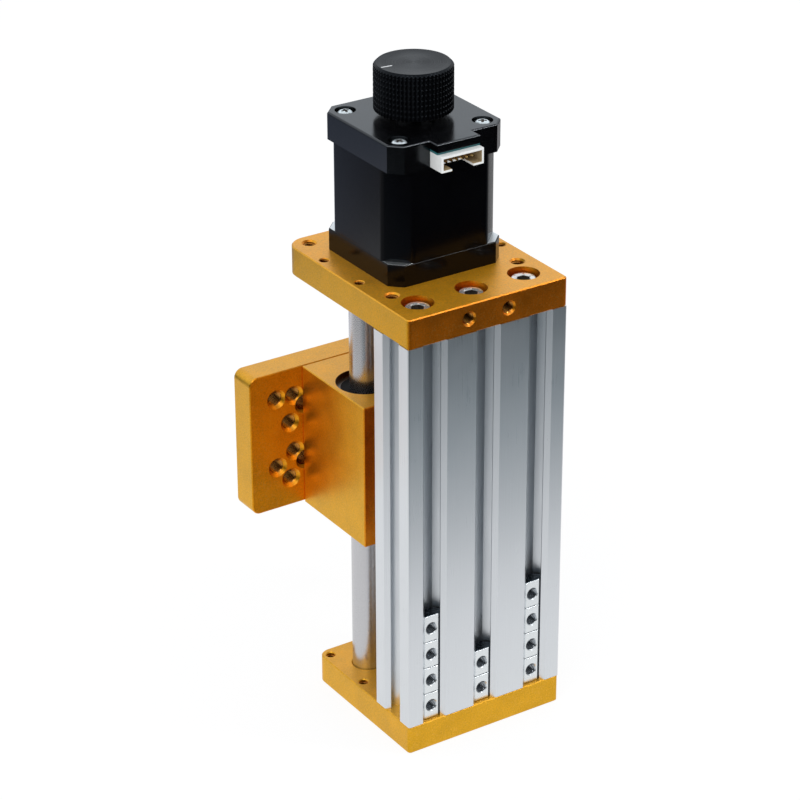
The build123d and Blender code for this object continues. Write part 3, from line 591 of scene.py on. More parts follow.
class Skin:
    """Gathers grids of points, in millimetres, and makes one mesh of them."""

    def __init__(self, *grids: Array) -> None:
        """Start with some patches.

        Args:
            grids: grids of the first tag.
        """
        self.points: list[Array] = []
        self.quads: list[Array] = []
        self.tags: list[Array] = []
        self.count = 0
        for grid in grids:
            self.add(grid)

    def add(self, grid: Array, tag: int = 0) -> None:
        """Add a patch: points (row, column) joined to their neighbours by quads.

        A quad runs along its row, then up to the next row, so rows that climb and columns
        that turn from X to Y face outwards.

        Args:
            grid: points, as an array of rows, columns and coordinates.
            tag: material slot of the patch.
        """
        rows, columns = grid.shape[:2]
        index = np.arange(rows * columns).reshape(rows, columns) + self.count
        quads = np.stack([index[:-1, :-1], index[:-1, 1:], index[1:, 1:], index[1:, :-1]], -1)
        self.points.append(grid.reshape(-1, 3))
        self.quads.append(quads.reshape(-1, 4))
        self.tags.append(np.full((rows - 1) * (columns - 1), tag))
        self.count += rows * columns

    def build(self, name: str, *materials: bpy.types.Material) -> bpy.types.Object:
        """Make the mesh object, with doubles merged, so that seams and poles are closed.

        Args:
            name: name of the piece.
            materials: a material for each tag.

        Returns:
            The object, at the origin.
        """
        mesh = bpy.data.meshes.new(name)
        points = np.concatenate(self.points) * MM
        mesh.from_pydata(points.tolist(), [], np.concatenate(self.quads).tolist())
        mesh.polygons.foreach_set("material_index", np.concatenate(self.tags).astype(np.int32))
        with edited(mesh) as work:
            bmesh.ops.remove_doubles(work, verts=work.verts, dist=MERGE_DISTANCE)
            bmesh.ops.dissolve_degenerate(work, edges=work.edges, dist=MERGE_DISTANCE)
        mesh.polygons.foreach_set("use_smooth", np.full(len(mesh.polygons), True))
        mesh.set_sharp_from_angle(angle=SHARP_ANGLE)
        for material in materials:
            mesh.materials.append(material)
        piece = bpy.data.objects.new(name, mesh)
        bpy.context.scene.collection.objects.link(piece)
        return piece


def turn_angles(columns: int) -> Array:
    """Angles from 0 to a full turn, both ends included."""
    return np.linspace(0.0, TAU, columns + 1)


def around(radius: Array, height: Array) -> Array:
    """Points (r cos a, r sin a, z) for grids of r and z whose columns are the angles of a turn."""
    angles = turn_angles(radius.shape[1] - 1)
    return np.stack([radius * np.cos(angles), radius * np.sin(angles), height], -1)


def stack(rows: Sequence[tuple[Radius, Radius]], columns: int) -> Array:
    """Rings on top of each other, joined into one wall.

    Args:
        rows: radius and height of each ring, each one number or an array over the angles.
        columns: faces round the turn.

    Returns:
        The grid.
    """
    radius, height = (np.stack([np.broadcast_to(v, columns + 1) for v in each]) for each in zip(*rows))
    return around(radius, height)


def hexagon(across: float, columns: int) -> Array:
    """Radius of a hexagon: half its width over the cosine of the angle from the nearest flat."""
    angles = turn_angles(columns)
    return across / 2 / np.cos((angles + TAU / 12) % (TAU / 6) - TAU / 12)


def cross(reach: float, half_width: float, columns: int) -> Array:
    """Radius of a four-armed cross: the nearer of an arm's end and an arm's side.

    Args:
        reach: length of an arm.
        half_width: half the width of an arm.
        columns: faces round the turn.

    Returns:
        The radius at each angle.
    """
    folded = np.abs((turn_angles(columns) + TAU / 8) % (TAU / 4) - TAU / 8)
    side = half_width / np.maximum(np.sin(folded), 1e-6)
    return np.minimum(reach / np.cos(folded), side)


def basis(axis: Point) -> Array:
    """Right-handed frame whose third column is the axis, from two cross products.

    Args:
        axis: the direction, of any length.

    Returns:
        Three unit vectors as columns.
    """
    third = np.array(axis, float) / np.linalg.norm(axis)
    sideways = abs(third[2]) < 0.5 and abs(third[1]) < 0.5
    across = np.array([0.0, 0.0, 1.0] if sideways else [1.0, 0.0, 0.0])
    second = np.cross(third, across)
    second /= np.linalg.norm(second)
    return np.stack([np.cross(second, third), second, third], 1)


def set_at(grid: Array, place: Point, axis: Point = (0, 0, 1), turn: float = 0.0) -> Array:
    """Carry a grid from the origin and the Z axis to a place and another axis.

    Args:
        grid: the points.
        place: the origin's new place.
        axis: where Z goes.
        turn: turn about Z before that, in radians.

    Returns:
        The carried points.
    """
    c, s = math.cos(turn), math.sin(turn)
    spin = np.array([[c, -s, 0.0], [s, c, 0.0], [0.0, 0.0, 1.0]])
    return grid @ (basis(axis) @ spin).T + np.array(place, float)


@dataclass(frozen=True)
class Thread:
    """A screw thread: nominal radius, pitch and depth in millimetres, and its number of starts."""

    radius: float
    pitch: float
    depth: float
    starts: int = 1
    phases: tuple[float, ...] = (0.0, 0.125, 0.4375, 0.6875)
    heights: tuple[float, ...] = (1.0, 1.0, 0.0, 0.0)
    backing: float = 0.06

    def climb(self, low: float, high: float, columns: int, fade: float) -> tuple[Array, Array]:
        """Heights and shares of the ridge on a grid whose rows follow the helix.

        A row climbs one lead in a turn. Heights are held between low and high, and the ridge
        fades out over a short length at both ends.

        Args:
            low: lower end.
            high: upper end.
            columns: faces round the turn.
            fade: length over which the ridge fades.

        Returns:
            The heights, and the ridge's share of the depth.
        """
        turns = np.arange(-self.starts - 1, math.ceil((high - low) / self.pitch) + 1)
        phase = (turns[:, None] + np.array(self.phases)).ravel()
        share = np.tile(np.array(self.heights), len(turns))
        lead = self.pitch * self.starts
        height = low + phase[:, None] * self.pitch + lead * turn_angles(columns) / TAU
        held = np.clip(height, low, high)
        ends = np.clip((held - low) / fade, 0, 1) * np.clip((high - held) / fade, 0, 1)
        return held, share[:, None] * ends

    def ridge(self, low: float, high: float, columns: int = 48, fade: float = 0.6) -> Array:
        """Outside thread: crest at the nominal radius, closed at both ends.

        Args:
            low: lower end.
            high: upper end.
            columns: faces round the turn.
            fade: length over which the ridge fades.

        Returns:
            The grid.
        """
        height, share = self.climb(low, high, columns, fade)
        wall = around(self.radius - self.depth * (1.0 - share), height)
        root = self.radius - self.depth
        foot = stack([(0.0, low), (root, low)], columns)
        head = stack([(root, high), (0.0, high)], columns)
        return np.concatenate([foot, wall, head])

    def lining(self, depth: float, columns: int = 36) -> Array:
        """Inside thread as a closed sleeve whose mouth is at Z 0 and whose end is below.

        Args:
            depth: length of the thread.
            columns: faces round the turn.

        Returns:
            The grid.
        """
        height, share = self.climb(-depth, 0.0, columns, self.pitch / 2)
        wall = around(self.radius - self.depth * share, height)[::-1]
        sleeve = self.radius + self.backing
        outside = stack([(sleeve, -depth), (sleeve, 0.0)], columns)
        return np.concatenate([outside, wall, outside[:1]])


@dataclass(frozen=True)
class ThreadedHoles:
    """Threads in the holes of one of the record's bolt patterns."""

    pattern: str
    thread: Thread
    length: float

    def linings(self) -> list[Array]:
        """Grids of the linings, at the mouths that the record states.

        Returns:
            One grid for each hole.
        """
        mount = next(m for m in frame["record"]["mounts"] if m["name"] == self.pattern)
        dims = mount["dims"]
        middle = np.array(mount["pos_m"]) / MM
        axis = tuple(mount["axis"])
        wide = dims.get("spacing_x_mm", 0.0) / 2
        tall = dims.get("spacing_y_mm", 0.0) / 2
        grid = self.thread.lining(self.length)
        rise = np.array([0.0, 0.0, 1.0]) if abs(axis[1]) > 0.5 else np.array([0.0, 1.0, 0.0])
        shifts = sorted({(sx * wide, sy * tall) for sx in (-1, 1) for sy in (-1, 1)})
        return [set_at(grid, tuple(middle + np.array([dx, 0.0, 0.0]) + dy * rise), axis, 0.7 * i)
                for i, (dx, dy) in enumerate(shifts)]


def line_holes(name: str, holes: Sequence[ThreadedHoles], finish: Finish, body: str, slot: str) -> None:
    """Make one piece of all threads of a CAD node, riding on its body.

    Args:
        name: name of the piece.
        holes: the patterns.
        finish: finish of the thread.
        body: body that it rides on.
        slot: the record's material slot.
    """
    skin = Skin(*(grid for pattern in holes for grid in pattern.linings()))
    settle(skin.build(name, finish.material()), body, slot)


def settle(piece: bpy.types.Object, body: str, slot: str, *nodes: str) -> None:
    """Fasten a piece to its body and hide the CAD nodes that it stands for.

    Args:
        piece: the piece.
        body: body that it rides on.
        slot: the record's material slot; not used.
        nodes: the CAD nodes.
    """
    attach(piece, body)
    if nodes:
        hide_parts(*nodes)
    LOG.info("%s: %d faces", piece.name, len(piece.data.polygons))


def dress(**finishes: Finish) -> None:
    """Give CAD nodes their finishes.

    Args:
        finishes: a finish for each node, by its name.
    """
    for node, finish in finishes.items():
        for slot in frame["nodes"][node].material_slots:
            slot.material = finish.material()
        LOG.info("%s: %s", node, finish.name)


@dataclass(frozen=True)
class Screw:
    """Sizes of any screw, in millimetres: its head stands on Z 0 and its shank hangs below."""

    shank: float
    head: float
    height: float
    length: float

    @property
    def crown(self) -> float:
        """Height of the head's top."""
        return self.height

    def grid(self) -> Array:
        """Rings from the shank's tip over the head to the recess's rim."""
        raise NotImplementedError

    def well(self) -> Array:
        """Rings from the recess's rim to its floor."""
        raise NotImplementedError

    def stand(self, skin: Skin, place: Point, axis: Point, turn: float) -> None:
        """Add the screw to a skin, with its recess under the second tag.

        Args:
            skin: the skin.
            place: where the head stands, in millimetres.
            axis: the head's direction.
            turn: turn about the axis, in radians.
        """
        for tag, grid in enumerate((self.grid(), self.well())):
            skin.add(set_at(grid, place, axis, turn), tag)


@dataclass(frozen=True)
class CapScrew(Screw):
    """Socket cap screw with a knurled head."""

    socket: float
    socket_depth: float
    teeth: int = 36
    knurl: float = 0.12
    chamfer: float = 0.25

    def grid(self) -> Array:
        """Rings from the shank's tip over the straight knurl of the head to the socket's rim.

        The knurl pushes the head's radius in and out as a triangle wave of the angle.

        Returns:
            The grid.
        """
        columns = 4 * self.teeth
        wave = np.abs((turn_angles(columns) * self.teeth / TAU) % 1.0 - 0.5) * 2.0
        head, shank, top = self.head / 2, self.shank / 2, self.height
        ribbed = head - self.knurl * wave
        return stack([
            (0.0, -self.length), (shank - 0.4, -self.length), (shank, -self.length + 0.4), (shank, 0.0),
            (head - 0.25, 0.0), (head - 0.1, 0.2), (ribbed, 0.45), (ribbed, top - 0.75),
            (head - 0.05, top - 0.6), (head - 0.1, top - 0.4), (head - 0.45, top),
            (self.socket * 0.66, top), (hexagon(self.socket, columns), top - self.chamfer),
        ], columns)

    def well(self) -> Array:
        """Rings from the rim of the socket to its floor.

        Returns:
            The grid.
        """
        hexed = hexagon(self.socket, 4 * self.teeth)
        floor = self.height - self.socket_depth
        return stack([(hexed, self.height - self.chamfer), (hexed, floor), (hexed * 0.55, floor - 0.2),
                      (0.0, floor - 0.45)], 4 * self.teeth)


@dataclass(frozen=True)
class PanScrew(Screw):
    """Pan head screw with a cross recess."""

    columns: int = 72

    def rim(self) -> tuple[Array, Array]:
        """Rim of the recess, which dips with the square of the radius.

        Returns:
            Radius and height over the angles.
        """
        head = self.head / 2
        recess = cross(0.52 * head, 0.17 * head, self.columns)
        return recess, self.height * (1.0 - 0.24 * (recess / head) ** 2)

    def grid(self) -> Array:
        """Rings from the shank's tip over the domed head to the rim of the cross recess.

        Returns:
            The grid.
        """
        head, shank, top = self.head / 2, self.shank / 2, self.height
        return stack([
            (0.0, -self.length), (shank, -self.length), (shank, 0.0), (head - 0.1, 0.0), (head, 0.1),
            (head, 0.25 * top), (0.985 * head, 0.42 * top), (0.92 * head, 0.62 * top),
            (0.80 * head, 0.80 * top), (0.66 * head, 0.91 * top), (0.58 * head, 0.945 * top), self.rim(),
        ], self.columns)

    def well(self) -> Array:
        """Rings from the rim of the cross recess to its point.

        Returns:
            The grid.
        """
        recess, lip = self.rim()
        top = self.height
        return stack([(recess, lip), (0.8 * recess, 0.45 * top), (0.35 * recess, 0.28 * top),
                      (0.0, 0.22 * top)], self.columns)


@dataclass(frozen=True)
class FlatScrew(Screw):
    """Countersunk socket screw, whose head hangs below Z 0."""

    socket: float
    socket_depth: float
    columns: int = 72
    chamfer: float = 0.2

    @property
    def crown(self) -> float:
        """Height of the head's top."""
        return 0.0

    def grid(self) -> Array:
        """Rings from the shank's tip up the cone to the socket's rim.

        Returns:
            The grid.
        """
        head, shank = self.head / 2, self.shank / 2
        return stack([
            (0.0, -self.length), (shank, -self.length), (shank, -self.height), (head, -0.15),
            (head, 0.0), (self.socket * 0.66, 0.0), (hexagon(self.socket, self.columns), -self.chamfer),
        ], self.columns)

    def well(self) -> Array:
        """Rings from the rim of the socket to its floor.

        Returns:
            The grid.
        """
        hexed = hexagon(self.socket, self.columns)
        floor = -self.socket_depth
        return stack([(hexed, -self.chamfer), (hexed, floor), (0.5 * hexed, floor - 0.15),
                      (0.0, floor - 0.3)], self.columns)


def span(node: str) -> tuple[float, float]:
    """Lowest and highest Z of a CAD node, in millimetres."""
    low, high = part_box(node)
    return low.z / MM, high.z / MM


@dataclass(frozen=True)
class Fasteners:
    """All visible screws, in the places of the CAD screws."""

    m5_cap: CapScrew = CapScrew(5.0, 8.4, 5.0, 16.0, 4.0, 2.5)
    m3_cap: CapScrew = CapScrew(3.0, 5.4, 3.0, 10.0, 2.5, 1.4, 24)
    m3_case: PanScrew = PanScrew(3.0, 5.3, 2.0, 6.0)
    m3_nut: PanScrew = PanScrew(3.0, 5.2, 1.5, 11.5)
    rod_screw: FlatScrew = FlatScrew(5.0, 9.4, 2.6, 14.0, 3.0, 1.6)
    profile_spot: float = 20.0
    rod_spot: float = 19.0
    motor_spot: float = 15.5
    nut_radius: float = 8.0
    plate_spots: tuple[float, float] = (20.0, 17.0)

    def build(self) -> None:
        """Make each set of screws as one piece in place of its CAD node."""
        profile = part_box("slotted_extrusion")
        back = (profile[0].y + profile[1].y) / 2 / MM
        row = [(x, back) for x in (-self.profile_spot, 0.0, self.profile_spot)]
        square = [(sx * self.motor_spot, sy * self.motor_spot) for sx in (-1, 1) for sy in (-1, 1)]
        ring = [(self.nut_radius * math.cos(a), self.nut_radius * math.sin(a))
                for a in TAU / 8 * np.array([1, 3, 5, 7])]
        rods = [(-self.rod_spot, 0.0), (self.rod_spot, 0.0)]
        up, down = (0, 0, 1), (0, 0, -1)
        self.place("top_extrusion_screws", self.m5_cap, row, up)
        self.place("bottom_extrusion_screws", self.m5_cap, row, down)
        self.place("bottom_rod_screws", self.rod_screw, rods, down)
        self.place("motor_mount_screws", self.m3_cap, square, down)
        self.place("motor_case_screws", self.m3_case, square, up, BLUE_ZINC)
        self.place("lead_nut_screws", self.m3_nut, ring, down)
        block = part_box("carriage_block")
        middle = (block[0].z + block[1].z) / 2 / MM
        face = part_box("carriage_plate_screws")[1].y / MM - self.m5_cap.height
        wide, tall = self.plate_spots
        spots = [(sx * wide, face, middle + sz * tall) for sx in (-1, 1) for sz in (-1, 1)]
        skin = Skin()
        for i, spot in enumerate(spots):
            self.m5_cap.stand(skin, spot, (0, 1, 0), 0.3 + i)
        piece = skin.build("plate_cap_screws", ZINC_SCREW.material(), SOCKET_SHADE.material())
        settle(piece, "carriage", "steel_screws", "carriage_plate_screws")

    def place(self, node: str, screw: Screw, spots: Sequence[tuple[float, float]], axis: Point,
              finish: Finish = ZINC_SCREW) -> None:
        """Make one set of upright screws, their heads level with those of the CAD node.

        Args:
            node: CAD node that the set stands for.
            screw: the screw.
            spots: centres in X and Y.
            axis: the heads' direction.
            finish: their finish.
        """
        low, high = span(node)
        height = high - screw.crown if axis[2] > 0 else low + screw.crown
        skin = Skin()
        for i, (x, y) in enumerate(spots):
            screw.stand(skin, (x, y, height), axis, 0.35 + 1.1 * i)
        name = node.replace("_screws", "_screw_set")
        piece = skin.build(name, finish.material(), SOCKET_SHADE.material())
        settle(piece, frame["nodes"][node]["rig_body"], "steel_screws", node)


@dataclass(frozen=True)
class Plates:
    """Gold plates and the bearing block, with the threads of their holes."""

    m5: Thread = Thread(2.5, 0.8, 0.40)
    m4: Thread = Thread(2.0, 0.7, 0.34)
    m3: Thread = Thread(1.5, 0.5, 0.25)

    def build(self) -> None:
        """Dress the plates and line their holes."""
        dress(top_plate=GOLD_TOP, carriage_plate=GOLD, bottom_plate=GOLD_FOOT, carriage_block=GOLD_BLOCK)
        tool = [ThreadedHoles(f"tool_holes_{row}", self.m5, 8.0)
                for row in ("wide", "middle", "inner", "narrow")]
        line_holes("tool_plate_threads", tool, SHADED_GOLD_THREAD, "carriage", "gold_anodised")
        top = [ThreadedHoles("top_holes", self.m4, 8.4), ThreadedHoles("edge_holes", self.m4, 11.3),
               ThreadedHoles("cover_holes_top", self.m3, 8.9)]
        line_holes("top_plate_threads", top, SHADED_GOLD_THREAD, "frame", "gold_anodised")
        foot = [ThreadedHoles("cover_holes_bottom", self.m3, 8.9)]
        line_holes("bottom_plate_threads", foot, SHADED_GOLD_THREAD, "frame", "gold_anodised")


@dataclass(frozen=True)
class SlotNuts:
    """Zinc plated nuts that stand in the extrusion's slots."""

    m4: Thread = Thread(2.0, 0.7, 0.34)
    depth: float = 3.8

    def build(self) -> None:
        """Dress the nuts and line their threads."""
        patterns = {"left": ("_outer", "_inner"), "middle": ("",), "right": ("_outer", "_inner")}
        for side, tags in patterns.items():
            node = f"t_nuts_{side}"
            low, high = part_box(node)
            look = replace(ZINC_NUT, name=f"bright_zinc_{side}", foot=low.z / MM, top=high.z / MM,
                           centre=(low.x + high.x) / 2 / MM)
            dress(**{node: look})
            holes = [ThreadedHoles(f"{side}_nut_holes{tag}", self.m4, self.depth) for tag in tags]
            line_holes(f"{side}_nut_threads", holes, SHADED_ZINC_THREAD, f"{side}_nuts", "slot_nut_steel")


@dataclass(frozen=True)
class GuideSystem:
    """Extrusion, rods and linear bearings."""

    def build(self) -> None:
        """Dress the CAD nodes of the guide system."""
        dress(slotted_extrusion=DRAWN_ALUMINIUM, guide_rod_left=GROUND_ROD, guide_rod_right=GROUND_ROD,
              linear_bearing_sleeves=SHADED_SLEEVE_STEEL, linear_bearing_cages=CAGE_RESIN,
              linear_bearing_seals=SEAL_RUBBER)


@dataclass(frozen=True)
class ScrewDrive:
    """Two-start lead screw with its nut, coupler and lower bearing."""

    thread: Thread = Thread(4.0, 2.0, 1.15, 2, (0.0, 0.36, 0.5, 0.86))

    def build(self) -> None:
        """Cut the screw's thread and dress the drive's turned parts."""
        screw = Skin(self.thread.ridge(*span("lead_screw")))
        piece = screw.build("two_start_screw", SCREW_STEEL.material())
        settle(piece, "rotor", "screw_steel", "lead_screw")
        dress(lead_nut=NUT_BRASS, shaft_coupler=COUPLER, coupler_set_screws=BLACK_OXIDE,
              screw_end_bearing=BEARING_STEEL, motor_shaft=SHAFT_STEEL, motor_rotor=SHAFT_STEEL,
              motor_bearings=BEARING_STEEL)


@dataclass(frozen=True)
class StepMotor:
    """Motor body: end caps from the CAD frame and a stack of thin laminations."""

    width: float = 42.3
    cut: float = 7.2
    corner: float = 1.0
    sheet: float = 0.5
    groove: float = 0.03
    bore: float = 13.3
    steps: tuple[float, ...] = (0.0, 0.88, 0.90, 0.98)

    def outline(self) -> Array:
        """Chamfered square whose corners are eased by quadratic curves.

        A corner's points are P + e ((1 - t)^2 a + t^2 b) for the unit vectors a and b towards
        its neighbours.

        Returns:
            Points of the closed outline, the first repeated.
        """
        half, inner = self.width / 2, self.width / 2 - self.cut
        corners = np.array([(half, -inner), (half, inner), (inner, half), (-inner, half),
                            (-half, inner), (-half, -inner), (-inner, -half), (inner, -half)])
        back = np.roll(corners, 1, 0) - corners
        ahead = np.roll(corners, -1, 0) - corners
        back /= np.linalg.norm(back, axis=1, keepdims=True)
        ahead /= np.linalg.norm(ahead, axis=1, keepdims=True)
        t = np.linspace(0.0, 1.0, 5)[None, :, None]
        eased = corners[:, None] + self.corner * ((1 - t) ** 2 * back[:, None] + t ** 2 * ahead[:, None])
        ring = eased.reshape(-1, 2)
        return np.concatenate([ring, ring[:1]])

    def laminations(self, low: float, high: float) -> Array:
        """Outline carried up in steps, each sheet parted from the next by a fine groove.

        Args:
            low: lower end of the stack.
            high: upper end.

        Returns:
            The closed grid, with the bore's wall.
        """
        outline = self.outline()
        count = round((high - low) / self.sheet)
        starts = np.linspace(low, high, count + 1)[:-1]
        parts = np.array(self.steps) * (high - low) / count
        height = np.append((starts[:, None] + parts).ravel(), high)
        inset = np.append(np.tile([0.0, 0.0, self.groove, self.groove], count), 0.0)
        scale = 1.0 - inset / (self.width / 2)
        rise = np.broadcast_to(height[:, None, None], (len(height), len(outline), 1))
        wall = np.concatenate([outline[None] * scale[:, None, None], rise], -1)
        round_wall = self.bore * outline / np.linalg.norm(outline, axis=1, keepdims=True)
        inner = [np.column_stack([round_wall, np.full(len(outline), z)]) for z in (high, low)]
        return np.concatenate([wall, np.stack(inner), wall[:1]])

    def build(self) -> None:
        """Make the lamination stack and dress the caps."""
        stator = Skin(self.laminations(*span("motor_stator")))
        piece = stator.build("lamination_stack", BLACK_STACK.material())
        settle(piece, "frame", "black_laminations", "motor_stator")
        flange = replace(BLACK_FLANGE, ledge=span("motor_front_cap")[1])
        dress(motor_front_cap=flange, motor_rear_cap=BLACK_CAP)


@dataclass(frozen=True)
class Inlet:
    """Motor connector: ivory housing with painted shade in its cavity, pins and a board edge."""

    edge: float = 0.18
    wall: float = 0.8
    slack: float = 0.9
    flat: float = 0.01

    def build(self) -> None:
        """Copy the CAD housing, ease its edges and paint shade into its cavity.

        Faces whose middles lie behind the mouth and within the walls belong to the cavity.
        """
        source = frame["nodes"]["connector_housing"]
        piece = source.copy()
        piece.data = source.data.copy()
        piece.name = "header_shell"
        piece.parent = None
        for key in list(piece.keys()):
            del piece[key]
        bpy.context.scene.collection.objects.link(piece)
        with edited(piece.data) as work:
            bmesh.ops.remove_doubles(work, verts=work.verts, dist=MERGE_DISTANCE)
            bmesh.ops.dissolve_limit(work, angle_limit=self.flat, verts=work.verts, edges=work.edges)
        piece.data.materials.clear()
        for finish in (IVORY, IVORY_CAVITY_SHADE):
            piece.data.materials.append(finish.material())
        low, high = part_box("connector_housing")
        inset = self.slack * (self.wall + 0.01) * MM
        centres = np.zeros(3 * len(piece.data.polygons))
        piece.data.polygons.foreach_get("center", centres)
        x, y, z = centres.reshape(-1, 3).T
        inside = ((np.abs(x) < high.x - inset) & (y > low.y + 0.1 * MM)
                  & (z > low.z + inset) & (z < high.z - inset))
        # Cavity faces take the darker ivory: painted shade.
        piece.data.polygons.foreach_set("material_index", inside.astype(np.int32))
        bevel = piece.modifiers.new("eased edges", "BEVEL")
        bevel.width = self.edge * MM
        bevel.segments = 2
        bevel.limit_method = "ANGLE"
        settle(piece, "frame", "ivory_plastic", "connector_housing")
        dress(connector_pins=PIN_BRASS, connector_board=BOARD)


@dataclass(frozen=True)
class HandKnob:
    """Turned hand knob with a crossed knurl, a bright bevel and a painted pointer."""

    radius: float = 12.7
    teeth: int = 60
    tooth_depth: float = 0.42
    land: float = 0.12
    rings: int = 8
    ring_pitch: float = 1.7
    ring_depth: float = 0.36
    ring_reach: float = 0.3
    first_ring: float = 0.55
    bevel: float = 0.95
    fading: tuple[float, ...] = (0.0, 0.22, 0.45)
    sunk: float = 0.06
    wall: float = 2.2
    roof: float = 3.2
    hub: float = 5.5
    bore: float = 2.5
    pointer_angle: float = math.radians(173.4)
    pointer_span: tuple[float, float] = (7.3, 11.4)
    pointer_width: float = 0.62

    def knurl(self, low: float, high: float, columns: int) -> tuple[Array, Array]:
        """Radius on a grid of height and angle: the deeper of a tooth gap and a ring groove.

        A tooth gap is a triangle wave of the angle, and a ring groove a narrow triangle at each
        ring's height. The lowest band has teeth alone, and the teeth run out in the bevel.

        Args:
            low: lower edge of the rim.
            high: top face.
            columns: faces round the turn.

        Returns:
            The radii and the heights of the rows.
        """
        shoulder = high - self.bevel
        first = shoulder - self.first_ring - (self.rings - 1) * self.ring_pitch
        middles = first + self.ring_pitch * np.arange(self.rings)
        near = (middles[:, None] + self.ring_reach * np.array([-1.0, 0.0, 1.0])).ravel()
        ends = shoulder + np.array(self.fading)
        rows = np.sort(np.concatenate([[low, low + 0.25], near, ends, middles + self.ring_pitch / 2]))
        rows = rows[rows <= ends[-1]]
        gap = np.abs((turn_angles(columns) * self.teeth / TAU) % 1.0 - 0.5) * 2.0
        tooth = self.tooth_depth * np.clip((gap - self.land) / (1.0 - 2.0 * self.land), 0.0, 1.0)
        distance = np.abs(rows[:, None] - middles[None]).min(1)
        ring = self.ring_depth * np.clip(1.0 - distance / self.ring_reach, 0.0, 1.0)
        bevelled = self.radius - np.clip(rows - shoulder, 0.0, None)
        radius = np.minimum(self.radius - np.maximum(tooth[None], ring[:, None]), bevelled[:, None])
        radius = np.where(rows[:, None] < low + 0.1, radius - 0.2, radius)
        return radius, rows

    def build(self) -> None:
        """Make the knob and its pointer, and dress its set screw."""
        low, high = span("knob")
        columns = 8 * self.teeth
        radius, rows = self.knurl(low, high, columns)
        edge, face = self.radius - self.bevel, high - self.sunk
        crown = [(edge, high), (edge - 0.35, high), (edge - 0.6, face), (6.0, face), (0.0, face)]
        cup, inside = self.radius - self.wall, high - self.roof
        under = [(0.0, inside), (self.bore, inside), (self.bore, low + 0.3), (self.bore + 0.3, low),
                 (self.hub - 0.3, low), (self.hub, low + 0.3), (self.hub, inside), (cup, inside),
                 (cup, low + 0.2), (cup + 0.2, low)]
        skin = Skin(stack([*under, *zip(radius, rows), *crown], columns))
        settle(skin.build("knurled_knob", KNOB_BLACK.material()), "rotor", "knob_black", "knob")
        dress(knob_set_screw=BLACK_OXIDE)
        self.pointer(face)

    def pointer(self, face: float) -> None:
        """Lay the painted line on the knob's face: a flat strip with rounded ends, slightly crowned.

        The half width at a share s along the line is w sqrt(1 - |2 s - 1|^8).

        Args:
            face: height of the face.
        """
        share = np.linspace(0.0, 1.0, 25)[:, None]
        across = np.linspace(-1.0, 1.0, 7)[None]
        start, end = self.pointer_span
        along = start + (end - start) * share
        half = self.pointer_width / 2 * np.sqrt(np.clip(1.0 - np.abs(2 * share - 1) ** 8, 0.0, 1.0))
        side = half * across
        c, s = math.cos(self.pointer_angle), math.sin(self.pointer_angle)
        x, y = along * c - side * s, along * s + side * c
        lift = 0.03 * (1.0 - across ** 4) * np.clip(half * 8, 0, 1)
        top = np.stack([x, y, face + 0.005 + lift + 0 * x], -1)
        base = np.stack([x, y, np.full_like(x, face - 0.02)], -1)
        loop = np.concatenate([top[:, ::-1], base, top[:, -1:]], 1)
        piece = Skin(loop.transpose(1, 0, 2)[::-1]).build("knob_pointer", POINTER_WHITE.material())
        with edited(piece.data) as work:
            bmesh.ops.recalc_face_normals(work, faces=work.faces)
        settle(piece, "rotor", "knob_black")


# What polished faces see of the floor: distance behind the module's axis in metres, and colour.
FLOOR_STOPS = (
    (-0.50, (0.008, 0.008, 0.010)), (-0.325, (0.006, 0.005, 0.005)), (-0.308, (0.030, 0.020, 0.016)),
    (-0.290, (0.08, 0.06, 0.05)), (-0.270, (0.10, 0.13, 0.15)), (-0.255, (0.14, 0.21, 0.25)),
    (-0.24, (0.19, 0.29, 0.34)), (-0.205, (0.37, 0.40, 0.42)), (-0.16, (0.57, 0.58, 0.59)),
    (-0.145, (0.68, 0.69, 0.70)), (-0.13, (0.83, 0.83, 0.84)), (-0.06, (0.84, 0.84, 0.84)),
    (0.15, (0.90, 0.90, 0.90)), (0.20, (0.88, 0.88, 0.89)), (0.265, (1.10, 1.10, 1.12)),
    (0.29, (0.94, 0.94, 0.98)), (0.33, (0.46, 0.48, 0.56)), (0.40, (0.34, 0.38, 0.50)),
    (0.50, (0.26, 0.32, 0.44)))
# What they see of the surroundings: height of the direction, and colour.
SKY_STOPS = ((0.0, (0.50, 0.52, 0.55)), (0.25, (0.76, 0.80, 0.84)), (0.45, (0.83, 0.89, 0.95)),
             (0.60, (0.86, 0.89, 0.93)), (1.0, (0.55, 0.56, 0.58)))
WHITE = (1.0, 1.0, 1.0, 1.0)


